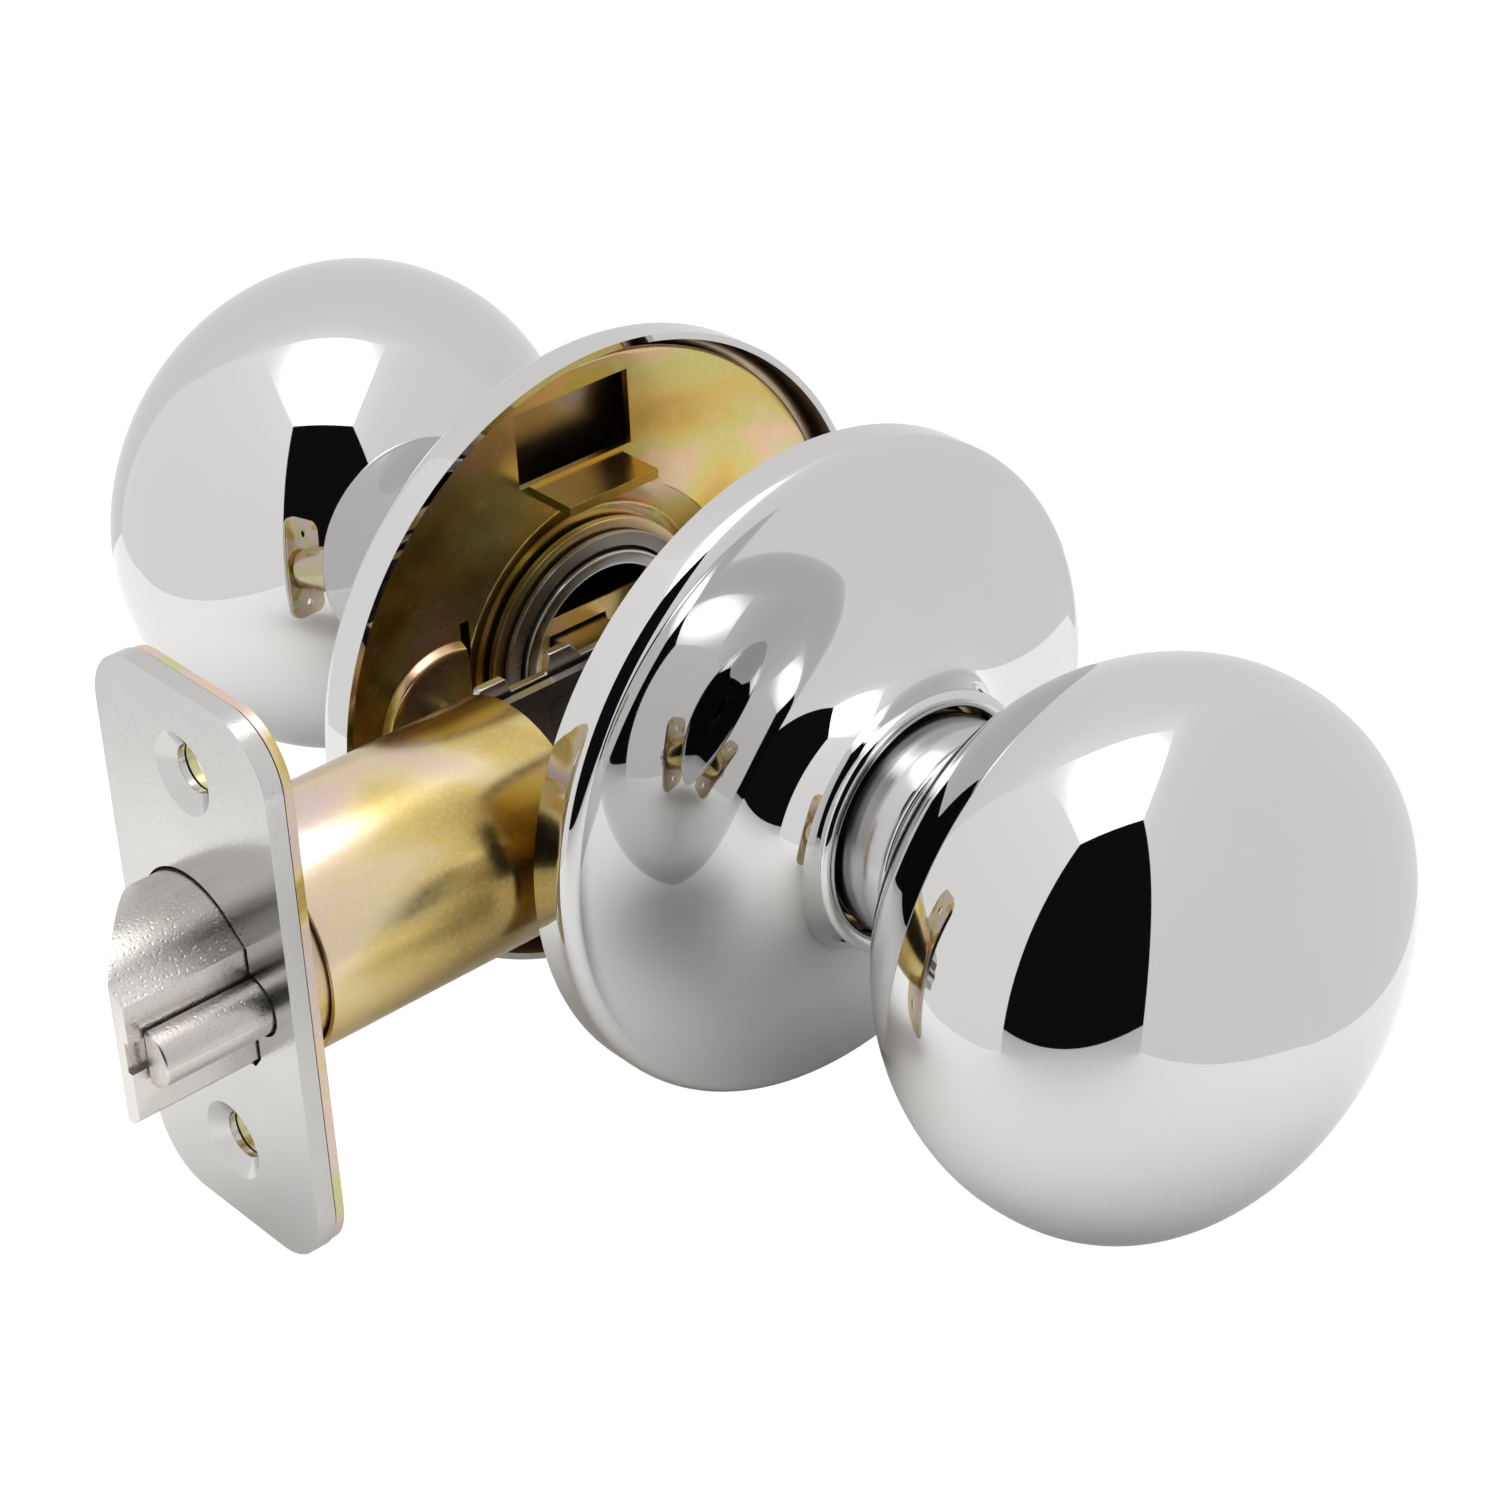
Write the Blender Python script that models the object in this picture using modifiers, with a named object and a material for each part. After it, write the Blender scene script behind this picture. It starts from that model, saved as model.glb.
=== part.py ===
"""Passage door knob set with a deadlocking tubular latch.

The origin is where the knobs' axis (Y) meets the latch's axis (X). The latch points to -X, the exterior
knob to -Y, the interior knob to +Y, and +Z is up. Lengths are in metres, written as millimetres times MM.

Each side of the door has its own frame: u to the right as seen from that side, v up, and s outwards from the
rose's open rim. The latch has a frame whose third axis runs along +X, and the pieces cut from sheet that stand
across the knobs' axis have one whose third axis runs along -Y.
"""

import math

import bmesh
import bpy

MM = 0.001

# Roses and the gap between their rims
FRONT_RIM_Y = -12.9 * MM
REAR_RIM_Y = 15.1 * MM
ROSE_RADIUS = 33.45 * MM
ROSE_WALL = 0.7 * MM
ROSE_LIP = 2.9 * MM
ROSE_CORNER = 1.8 * MM
COLLAR_TOP = 16.7 * MM
COLLAR_BORE = 11.62 * MM

# Knobs
KNOB_RADIUS = 26.7 * MM
KNOB_WALL = 1.0 * MM
KNOB_WIDEST = 44.5 * MM
KNOB_FRONT_DEPTH = 18.4 * MM
KNOB_FRONT_POWER = 2.35
KNOB_BACK_DEPTH = 23.3 * MM
KNOB_BACK_POWER = 1.9
KNOB_NECK = 12.3 * MM

# Shank, bushing and plate
SHANK_RADIUS = 10.5 * MM
SHANK_BORE = 9.0 * MM
SHANK_BULGE = 11.05 * MM
SHANK_START = 1.3 * MM
SHANK_END = 27.0 * MM
BUSHING_BORE = 10.8 * MM
BUSHING_RADIUS = 12.2 * MM
PLATE_RADIUS = 31.3 * MM
PLATE_FACE = 2.5 * MM
PLATE_THICK = 0.8 * MM
DISH_DEPTH = 1.7 * MM
SCREW_OFFSET = 19.5 * MM
SCREW_RADIUS = 1.6 * MM
BOSS_RADIUS = 8.0 * MM
BOSS_TOP = 1.4 * MM

# Spindle and hub, a half-round bar in D-shaped holes
SPINDLE_RADIUS = 3.4 * MM
SPINDLE_FLAT = 0.6 * MM
SLIP = 0.3 * MM
HUB_RADIUS = 5.2 * MM
HUB_HALF = 7.6 * MM
LUG_TIP = 12.0 * MM
LUG_LEAN = math.radians(30)

# Latch
BACKSET = 60.3 * MM
FACE_HEIGHT = 57.15 * MM
FACE_WIDTH = 25.4 * MM
FACE_CORNER = 6.5 * MM
FACE_THICK = 1.6 * MM
BACK_THICK = 1.2 * MM
FACE_HOLE_Z = 19.8 * MM
THROW = 12.7 * MM
BOLT_DOME = 8.3 * MM
BOLT_DOME_Y = 1.3 * MM
BOLT_DOME_Z = 0.2 * MM
BOLT_FLAT_Y = -6.4 * MM
BOLT_BOTTOM = -8.1 * MM
BOLT_REAR_X = -46.3 * MM
PLUNGER_RADIUS = 2.8 * MM
PLUNGER_Y = -7.0 * MM
PLUNGER_Z = -1.0 * MM
PLUNGER_TIP_X = -71.6 * MM
PLUNGER_REAR_X = -55.5 * MM
SLEEVE_RADIUS = 11.5 * MM
SLEEVE_BORE = 11.0 * MM
SLEEVE_FROM_X = -55.0 * MM
SLEEVE_TO_X = -25.0 * MM
TUBE_RADIUS = 10.7 * MM
TUBE_BORE = 10.2 * MM
TUBE_TO_X = -40.0 * MM
CASE_INNER_Y = 6.2 * MM
CASE_THICK = 1.0 * MM
CASE_RIVET_X = 7.4 * MM
CASE_RIVET_Z = 3.4 * MM
BAR_INNER_Y = 4.7 * MM
BAR_THICK = 1.0 * MM

STEPS = 30
SMALL_STEPS = 16


def clear_scene():
    for obj in list(bpy.data.objects):
        bpy.data.objects.remove(obj, do_unlink=True)


def collection(name):
    made = bpy.data.collections.new(name)
    bpy.context.scene.collection.children.link(made)
    return made


def material(name, colour, roughness):
    made = bpy.data.materials.new(name)
    made.use_nodes = True
    shader = made.node_tree.nodes["Principled BSDF"]
    shader.inputs["Base Color"].default_value = (*colour, 1)
    shader.inputs["Roughness"].default_value = roughness
    shader.inputs["Metallic"].default_value = 1.0
    made.diffuse_color = (*colour, 1)
    return made


clear_scene()
PARTS = collection("door_knob")
CUTTERS = collection("cutters")
CHROME = material("chrome", (0.80, 0.80, 0.80), 0.05)
SATIN = material("satin_nickel", (0.62, 0.59, 0.55), 0.35)
STEEL = material("steel", (0.45, 0.44, 0.43), 0.40)
ZINC = material("yellow_zinc", (0.72, 0.56, 0.22), 0.35)
SPRING = material("spring_steel", (0.50, 0.50, 0.52), 0.30)


def empty(name, location=(0, 0, 0), rotation=(0, 0, 0), parent=None):
    made = bpy.data.objects.new(name, None)
    made.location = location
    made.rotation_euler = [math.radians(angle) for angle in rotation]
    made.parent = parent
    PARTS.objects.link(made)
    return made


ROOT = empty("door_knob_origin")
TURN = empty("knob_axis", parent=ROOT)
SIDES = {
    "front": {
        "fixed": empty("front_side", (0, FRONT_RIM_Y, 0), (90, 0, 0), ROOT),
        "turning": empty("front_turning", (0, FRONT_RIM_Y, 0), (90, 0, 0), TURN),
    },
    "rear": {
        "fixed": empty("rear_side", (0, REAR_RIM_Y, 0), (90, 0, 180), ROOT),
        "turning": empty("rear_turning", (0, REAR_RIM_Y, 0), (90, 0, 180), TURN),
    },
}
LATCH = empty("latch_frame", rotation=(90, 0, 90), parent=ROOT)
BOLT = empty("bolt_frame", rotation=(90, 0, 90), parent=ROOT)
PLUNGER = empty("plunger_frame", parent=BOLT)
SHEET = empty("case_frame", rotation=(90, 0, 0), parent=ROOT)
BAR_SHEET = empty("drawbar_frame", rotation=(90, 0, 0), parent=ROOT)
HUB_SHEET = empty("hub_frame", rotation=(90, 0, 0), parent=TURN)


def add(name, data, parent, finish, smooth=True):
    """An object of the part, or a cutter when it has no finish."""
    made = bpy.data.objects.new(name, data)
    made.parent = parent
    if finish:
        PARTS.objects.link(made)
        data.materials.append(finish)
    else:
        CUTTERS.objects.link(made)
        made.hide_render = True
        made.display_type = "WIRE"
    if smooth and isinstance(data, bpy.types.Mesh) and data.polygons:
        data.shade_smooth()
        data.set_sharp_from_angle(angle=math.radians(35))
    return made


def arc(centre, radius, start, end, count):
    """Points on a circle, with the angles in degrees."""
    points = []
    for i in range(count + 1):
        angle = math.radians(start + (end - start) * i / count)
        points.append((centre[0] + radius * math.cos(angle), centre[1] + radius * math.sin(angle)))
    return points


def circle(centre, radius, count=SMALL_STEPS):
    return arc(centre, radius, 0, 360, count)[:-1]


def rounded_rectangle(width, height, radius, count=6):
    points = []
    for sign_x, sign_y, start in ((1, 1, 0), (-1, 1, 90), (-1, -1, 180), (1, -1, 270)):
        centre = (sign_x * (width / 2 - radius), sign_y * (height / 2 - radius))
        points += arc(centre, radius, start, start + 90, count)
    return points


def half_round(radius, flat, count=16):
    """A circle cut off above a level line."""
    tilt = math.degrees(math.asin(flat / radius))
    return arc((0, 0), radius, 180 - tilt, 360 + tilt, count)


def turned(name, profile, parent, finish, closed=True, steps=STEPS, wall=0.0):
    """A shape turned round its frame's third axis, from a profile of (radius, height) points.

    A negative wall is laid on the other side of the profile, as one that curves inward needs.
    """
    area = sum(a[0] * b[1] - b[0] * a[1] for a, b in zip(profile, profile[1:] + profile[:1], strict=True))
    if area > 0:
        profile = profile[::-1]
    mesh = bpy.data.meshes.new(name)
    count = len(profile)
    edges = [(i, i + 1) for i in range(count - 1)] + ([(count - 1, 0)] if closed else [])
    mesh.from_pydata([(radius, 0, height) for radius, height in profile], edges, [])
    made = add(name, mesh, parent, finish)
    screw = made.modifiers.new("turn", "SCREW")
    screw.steps = screw.render_steps = steps
    screw.use_merge_vertices = True
    screw.merge_threshold = 0.00001
    screw.use_smooth_shade = True
    if wall:
        shell = made.modifiers.new("wall", "SOLIDIFY")
        shell.thickness = abs(wall)
        shell.offset = -math.copysign(1, wall)
        shell.use_even_offset = True
    return made


def sheet(name, outlines, low, high, parent, finish):
    """A flat outline with its holes, from low to high on its frame's third axis."""
    curve = bpy.data.curves.new(name, "CURVE")
    curve.dimensions = "2D"
    curve.fill_mode = "BOTH"
    curve.extrude = (high - low) / 2
    for outline in outlines:
        spline = curve.splines.new("POLY")
        spline.points.add(len(outline) - 1)
        for point, (a, b) in zip(spline.points, outline, strict=True):
            point.co = (a, b, 0, 1)
        spline.use_cyclic_u = True
    drawn = bpy.data.objects.new(name + "_outline", curve)
    CUTTERS.objects.link(drawn)
    bpy.context.view_layer.update()
    evaluated = drawn.evaluated_get(bpy.context.evaluated_depsgraph_get())
    mesh = bpy.data.meshes.new_from_object(evaluated)
    bpy.data.objects.remove(drawn, do_unlink=True)
    work = bmesh.new()
    work.from_mesh(mesh)
    bmesh.ops.remove_doubles(work, verts=work.verts, dist=0.000001)
    bmesh.ops.recalc_face_normals(work, faces=work.faces)
    bmesh.ops.translate(work, verts=work.verts, vec=(0, 0, (low + high) / 2))
    work.to_mesh(mesh)
    work.free()
    return add(name, mesh, parent, finish)


def box(name, low, high, parent, finish=None):
    mesh = bpy.data.meshes.new(name)
    work = bmesh.new()
    bmesh.ops.create_cube(work, size=1)
    bmesh.ops.scale(work, vec=[b - a for a, b in zip(low, high, strict=True)], verts=work.verts)
    bmesh.ops.translate(work, vec=[(a + b) / 2 for a, b in zip(low, high, strict=True)], verts=work.verts)
    work.to_mesh(mesh)
    work.free()
    return add(name, mesh, parent, finish, smooth=False)


def combine(target, other, operation):
    boolean = target.modifiers.new(other.name, "BOOLEAN")
    boolean.operation = operation
    boolean.object = other


def cut(target, *cutters):
    for cutter in cutters:
        combine(target, cutter, "DIFFERENCE")


def join(target, *others):
    for other in others:
        combine(target, other, "UNION")


def pin_cutter(name, centre, radius, low, high, parent):
    return sheet(name, [circle(centre, radius)], low, high, parent, None)


def coil(name, centre, radius, wire, turns, low, high, parent, legs=0.0):
    """A round-wire helix along its frame's third axis, with straight legs outwards where it has them."""
    per_turn = 9
    points = []
    for i in range(int(turns * per_turn) + 1):
        part = i / (turns * per_turn)
        angle = math.tau * turns * part
        height = low + wire + (high - low - 2 * wire) * part
        points.append((centre[0] + radius * math.cos(angle), centre[1] + radius * math.sin(angle), height))
    if legs:
        for end, last in ((0, points[0]), (len(points) + 1, points[-1])):
            reach = 1 + legs / radius
            points.insert(end, (last[0] * reach, last[1] * reach, last[2]))
    curve = bpy.data.curves.new(name, "CURVE")
    curve.dimensions = "3D"
    curve.bevel_depth = wire
    curve.bevel_resolution = 2
    curve.use_fill_caps = True
    spline = curve.splines.new("POLY")
    spline.points.add(len(points) - 1)
    for point, place in zip(spline.points, points, strict=True):
        point.co = (*place, 1)
    return add(name, curve, parent, SPRING)


# ---------------------------------------------------------------- each side of the door


def rose(side, frame):
    """A pressed cover: straight lip, rounded corner, slowly rising face, and a flare into a rolled collar."""
    corner = (ROSE_RADIUS - ROSE_CORNER, ROSE_LIP)
    face = ROSE_LIP + ROSE_CORNER
    profile = [
        (COLLAR_BORE, COLLAR_TOP - 1.4 * MM),
        (COLLAR_BORE + 0.1 * MM, COLLAR_TOP - 0.5 * MM),
        (COLLAR_BORE + 0.6 * MM, COLLAR_TOP),
        (COLLAR_BORE + 1.3 * MM, COLLAR_TOP - 0.4 * MM),
    ]
    # The flare is a quarter of an ellipse between the collar and the face.
    collar_radius = COLLAR_BORE + 1.5 * MM
    flare = (9.6 * MM, COLLAR_TOP - 1.4 * MM - face - 0.9 * MM)
    for i in range(5):
        angle = math.radians(90 * i / 4)
        out = collar_radius + flare[0] * (1 - math.cos(angle))
        profile.append((out, face + 0.9 * MM + flare[1] * (1 - math.sin(angle))))
    profile += arc(corner, ROSE_CORNER, 90, 0, 3)
    profile.append((ROSE_RADIUS, 0))
    turned(side + "_rose", profile, frame, CHROME, closed=False, wall=-ROSE_WALL)


def screw_bosses(side, frame, sign):
    """A dome raised towards the door round a mounting hole, cut off where it would reach the dish."""
    bottom = PLATE_FACE + 0.4 * MM
    profile = [
        (0, bottom),
        (BOSS_RADIUS, bottom),
        (BOSS_RADIUS, PLATE_FACE),
        (BOSS_RADIUS - 0.5 * MM, BOSS_TOP + 0.3 * MM),
        (BOSS_RADIUS - 1.4 * MM, BOSS_TOP),
        (0, BOSS_TOP),
    ]
    name = f"{side}_boss_{'right' if sign > 0 else 'left'}"
    made = turned(name, profile, frame, None, closed=False, steps=SMALL_STEPS)
    made.location = (sign * SCREW_OFFSET, 0, 0)
    inner = sorted((sign * 5 * MM, sign * 16.9 * MM))
    cut(made, box(name + "_trim", (inner[0], -12 * MM, -MM), (inner[1], 12 * MM, 8 * MM), frame))
    return made


def mounting_plate(side, frame):
    """A zinc-plated plate with a dished hub, a lanced window and its tab, and two screw bosses."""
    dish = PLATE_FACE + DISH_DEPTH
    hole = BUSHING_RADIUS + 0.3 * MM
    face = [(PLATE_RADIUS, PLATE_FACE), (17.2 * MM, PLATE_FACE), (14.6 * MM, dish), (hole, dish)]
    back = [(radius, height + PLATE_THICK) for radius, height in reversed(face)]
    plate = turned(side + "_mounting_plate", face + back, frame, ZINC)
    tab = box(
        side + "_tab",
        (-4.0 * MM, 19.5 * MM, -3.3 * MM),
        (7.1 * MM, 20.5 * MM, PLATE_FACE + 0.5 * MM),
        frame,
    )
    join(plate, tab, screw_bosses(side, frame, 1), screw_bosses(side, frame, -1))
    window = box(
        side + "_window", (-5.5 * MM, 20.8 * MM, PLATE_FACE - 0.5 * MM), (8.6 * MM, 28.8 * MM, 5 * MM), frame
    )
    cut(plate, window)
    for word, sign in (("right", 1), ("left", -1)):
        near, far = sorted((sign * 16.0 * MM, sign * 17.1 * MM))
        notch = box(
            f"{side}_notch_{word}", (near, 0.5 * MM, 0.5 * MM), (far, 9.5 * MM, 5 * MM), frame
        )
        low, high, seat = -MM, 8 * MM, PLATE_FACE - 0.1 * MM
        bore, wide = SCREW_RADIUS + 0.6 * MM, 3.25 * MM
        profile = [(0, high), (wide, high), (wide, seat), (bore, seat), (bore, low), (0, low)]
        hole = turned(f"{side}_screw_hole_{word}", profile, frame, None, closed=False, steps=SMALL_STEPS)
        hole.location = (sign * SCREW_OFFSET, 0, 0)
        hole.rotation_euler[2] = math.radians(7)
        cut(plate, notch, hole)


def hub_bushing(side, frame):
    bottom = PLATE_FACE + 0.4 * MM
    flange = bottom + 0.9 * MM
    profile = [
        (BUSHING_BORE, 13.0 * MM),
        (BUSHING_RADIUS, 13.0 * MM),
        (BUSHING_RADIUS, flange),
        (13.4 * MM, flange),
        (13.4 * MM, bottom),
        (BUSHING_BORE, bottom),
    ]
    turned(side + "_hub_bushing", profile, frame, ZINC)


def return_spring(side, frame):
    coil(side + "_return_spring", (0, 0), 13.8 * MM, 0.4 * MM, 1.25, 5.4 * MM, 7.6 * MM, frame, 1.2 * MM)


def knob_half(depth, power, widest_sign, start, end, count):
    """Part of the knob's outline. At angle 0 it is on the axis, and at 90 degrees it is at its widest."""
    points = []
    for i in range(count + 1):
        angle = math.radians(start + (end - start) * i / count)
        radius = KNOB_RADIUS * max(math.sin(angle), 0) ** (2 / power)
        reach = depth * max(math.cos(angle), 0) ** (2 / power)
        points.append((radius, KNOB_WIDEST + widest_sign * reach))
    return points


def knob_shell(side, frame):
    neck_angle = math.degrees(math.asin((KNOB_NECK / KNOB_RADIUS) ** (KNOB_BACK_POWER / 2)))
    front = knob_half(KNOB_FRONT_DEPTH, KNOB_FRONT_POWER, 1, 0, 90, 7)
    back = knob_half(KNOB_BACK_DEPTH, KNOB_BACK_POWER, -1, 90, neck_angle, 5)
    turned(side + "_knob_shell", front + back[1:], frame, CHROME, closed=False, wall=KNOB_WALL)


def knob_core(side, frame):
    """The insert that holds the shell to the shank."""
    profile = [
        (SHANK_RADIUS + SLIP, 33.0 * MM),
        (20.0 * MM, 33.0 * MM),
        (20.0 * MM, 31.6 * MM),
        (13.5 * MM, 31.6 * MM),
        (12.3 * MM, 27.0 * MM),
        (SHANK_RADIUS + SLIP, 27.0 * MM),
    ]
    turned(side + "_knob_core", profile, frame, STEEL, steps=SMALL_STEPS)


def neck_ring(side, frame):
    """A ferrule of two fine beads between the shank and the knob."""
    profile = [(SHANK_RADIUS + SLIP, 23.9 * MM), (12.2 * MM, 23.9 * MM)]
    for top, out in ((23.9, 12.3), (22.9, 11.9)):
        profile += [(out * MM, (top - 0.4) * MM), ((out - 0.35) * MM, (top - 0.9) * MM)]
    profile += [(SHANK_RADIUS + SLIP, 21.8 * MM)]
    turned(side + "_neck_ring", profile, frame, CHROME)


def shank(side, frame):
    """The tube that carries the knob: plain in the bushing, and swelled where it shows."""
    swell = [(14.0, 0.0), (15.6, 0.8), (18.4, 1.0), (20.6, 0.8), (21.5, 0.0)]
    outer = [(SHANK_RADIUS, SHANK_START)]
    for height, share in swell:
        outer.append((SHANK_RADIUS + (SHANK_BULGE - SHANK_RADIUS) * share, height * MM))
    outer.append((SHANK_RADIUS, SHANK_END))
    turned(
        side + "_shank", outer + [(SHANK_BORE, SHANK_END), (SHANK_BORE, SHANK_START)], frame, SATIN
    )


def retaining_ring(side, frame):
    low, high = 1.9 * MM, 2.5 * MM
    inner, outer = SHANK_RADIUS + SLIP, 12.3 * MM
    open_ring = arc((0, 0), outer, -60, 240, 18) + arc((0, 0), inner, 240, -60, 18)
    sheet(side + "_retaining_ring", [open_ring], low, high, frame, STEEL)


def drive_disc(side, frame):
    """The disc in the shank whose D-shaped hole takes the spindle."""
    radius = SHANK_BORE - SLIP
    chord = math.degrees(math.asin(2.8 * MM / radius))
    outline = arc((0, 0), radius, 180 - chord, 360 + chord, 28)
    hole = half_round(SPINDLE_RADIUS + SLIP, SPINDLE_FLAT + SLIP)
    sheet(side + "_drive_disc", [outline, hole], 6.0 * MM, 7.5 * MM, frame, ZINC)


def side_assembly(side, frames):
    rose(side, frames["fixed"])
    mounting_plate(side, frames["fixed"])
    hub_bushing(side, frames["fixed"])
    return_spring(side, frames["fixed"])
    knob_shell(side, frames["turning"])
    knob_core(side, frames["turning"])
    neck_ring(side, frames["turning"])
    shank(side, frames["turning"])
    retaining_ring(side, frames["turning"])
    drive_disc(side, frames["turning"])


def threaded_posts():
    """Posts of the exterior plate, which the screws from the interior plate enter."""
    for word, sign in (("latch_side", -1), ("far_side", 1)):
        profile = [
            (1.9 * MM, BOSS_TOP - 0.4 * MM),
            (3.2 * MM, BOSS_TOP - 0.4 * MM),
            (3.0 * MM, -5.0 * MM),
            (1.9 * MM, -5.0 * MM),
        ]
        made = turned(f"threaded_post_{word}", profile, SIDES["front"]["fixed"], ZINC, steps=SMALL_STEPS)
        made.location = (sign * SCREW_OFFSET, 0, 0)


def mounting_screws():
    """Pan-head screws, seated in the interior plate's bosses under the rose."""
    frame = SIDES["rear"]["fixed"]
    seat = PLATE_FACE + 0.3 * MM
    for word, sign in (("latch_side", 1), ("far_side", -1)):
        name = f"mounting_screw_{word}"
        profile = [
            (0, seat + 1.5 * MM),
            (2.0 * MM, seat + 1.4 * MM),
            (2.8 * MM, seat + 0.7 * MM),
            (2.9 * MM, seat),
            (SCREW_RADIUS, seat),
            (SCREW_RADIUS, -28.4 * MM),
            (1.1 * MM, -29.0 * MM),
            (0, -29.0 * MM),
        ]
        made = turned(name, profile, frame, STEEL, closed=False, steps=SMALL_STEPS)
        made.location = (sign * SCREW_OFFSET, 0, 0)
        for i, reach in enumerate(((1.6, 0.3), (0.3, 1.6))):
            low = [sign * SCREW_OFFSET - reach[0] * MM, -reach[1] * MM, seat + 0.6 * MM]
            high = [sign * SCREW_OFFSET + reach[0] * MM, reach[1] * MM, seat + 3 * MM]
            cut(made, box(f"{name}_drive_{i}", low, high, frame))


# ---------------------------------------------------------------- latch


def bolt_outline(grow=0.0):
    """Section of the bolt in (y, z): a dome, a flat face to -Y and a flat bottom."""
    centre = (BOLT_DOME_Y, BOLT_DOME_Z)
    points = arc(centre, BOLT_DOME + grow, -90, 135, 20)
    points += [
        (BOLT_FLAT_Y - grow, 4.7 * MM),
        (BOLT_FLAT_Y - grow, BOLT_BOTTOM + 1.0 * MM),
        (BOLT_FLAT_Y - grow + 1.0 * MM, BOLT_BOTTOM - grow),
    ]
    return points


def plunger_outline(grow=0.0, flat=-6.7 * MM):
    points = [(flat, PLUNGER_Z + PLUNGER_RADIUS + grow)]
    points += arc((PLUNGER_Y, PLUNGER_Z), PLUNGER_RADIUS + grow, 90, 270, 14)
    points.append((flat, PLUNGER_Z - PLUNGER_RADIUS - grow))
    return points


def face_cutters(name, front_x, depth, play, sunk):
    """The bolt's opening and the two screw holes of a face or back plate."""
    near, far = front_x - MM, front_x + depth + MM
    made = [
        sheet(name + "_bolt_opening", [bolt_outline(play)], near, far, LATCH, None),
        sheet(
            name + "_plunger_opening",
            [plunger_outline(play, BOLT_FLAT_Y + 0.5 * MM)],
            near - 0.1 * MM,
            far + 0.1 * MM,
            LATCH,
            None,
        ),
    ]
    for word, sign in (("upper", 1), ("lower", -1)):
        profile = [(0, far), (2.3 * MM, far)]
        if sunk:
            profile += [(2.3 * MM, front_x + 1.2 * MM), (4.0 * MM, front_x - 0.02 * MM)]
            profile += [(4.0 * MM, near), (0, near)]
        else:
            profile += [(2.3 * MM, near), (0, near)]
        hole = turned(f"{name}_hole_{word}", profile, LATCH, None, closed=False, steps=SMALL_STEPS)
        hole.location = (0, sign * FACE_HOLE_Z, 0)
        made.append(hole)
    return made


def faceplates():
    front = -BACKSET
    outline = rounded_rectangle(FACE_WIDTH, FACE_HEIGHT, FACE_CORNER)
    made = sheet("faceplate", [outline], front, front + FACE_THICK, LATCH, CHROME)
    cut(made, *face_cutters("faceplate", front, FACE_THICK, 0.3 * MM, True))
    back = front + FACE_THICK + 0.3 * MM
    outline = rounded_rectangle(FACE_WIDTH - 0.4 * MM, FACE_HEIGHT - 0.4 * MM, FACE_CORNER - 0.2 * MM)
    made = sheet("backplate", [outline], back, back + BACK_THICK, LATCH, ZINC)
    cut(made, *face_cutters("backplate", back, BACK_THICK, 0.5 * MM, False))


def tube(name, bore, radius, low, high):
    profile = [(bore, high), (radius, high), (radius, low), (bore, low)]
    turned(name, profile, LATCH, ZINC)


def latch_bolt():
    tip = -BACKSET - THROW
    made = sheet("latch_bolt", [bolt_outline()], tip, BOLT_REAR_X, BOLT, SATIN)
    bevel = [
        (tip - MM, -4.5 * MM),
        (tip, -4.5 * MM),
        (-BACKSET - 0.5 * MM, 9.3 * MM),
        (-BACKSET - 0.5 * MM, 12 * MM),
        (tip - MM, 12 * MM),
    ]
    # The wedge is drawn in (x, y), and stands along the bolt's height.
    wedge = sheet("bolt_bevel", [bevel], -12 * MM, 12 * MM, ROOT, None)
    side_relief = [
        box(
            f"bolt_relief_{word}",
            (min(low, high), -12 * MM, -54.5 * MM),
            (max(low, high), 12 * MM, BOLT_REAR_X + MM),
            BOLT,
        )
        for word, low, high in (("left", -4.4 * MM, -12 * MM), ("right", 4.4 * MM, 12 * MM))
    ]
    step = box("bolt_step", (-5 * MM, -12 * MM, -53.0 * MM), (5 * MM, -5.5 * MM, BOLT_REAR_X + MM), BOLT)
    tip_slot = box(
        "bolt_tip_slot",
        (BOLT_FLAT_Y - MM, -2.3 * MM, tip - MM),
        (BOLT_FLAT_Y + 0.6 * MM, 0.9 * MM, tip + 1.6 * MM),
        BOLT,
    )
    rivet_hole = pin_cutter("bolt_rivet_hole", (-50 * MM, 0.5 * MM), 1.8 * MM, -8 * MM, 8 * MM, BAR_SHEET)
    cut(made, wedge, *side_relief, step, tip_slot, rivet_hole)


def deadlatch_plunger():
    made = sheet(
        "deadlatch_plunger", [plunger_outline()], PLUNGER_TIP_X, PLUNGER_REAR_X, PLUNGER, SATIN
    )
    made.modifiers.new("soft_edges", "BEVEL").width = 0.25 * MM
    made.modifiers["soft_edges"].limit_method = "ANGLE"
    made.modifiers["soft_edges"].segments = 1
    coil(
        "plunger_spring",
        (-8.0 * MM, PLUNGER_Z),
        1.2 * MM,
        0.22 * MM,
        5,
        PLUNGER_REAR_X + 0.3 * MM,
        -39.9 * MM,
        PLUNGER,
    )


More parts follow.
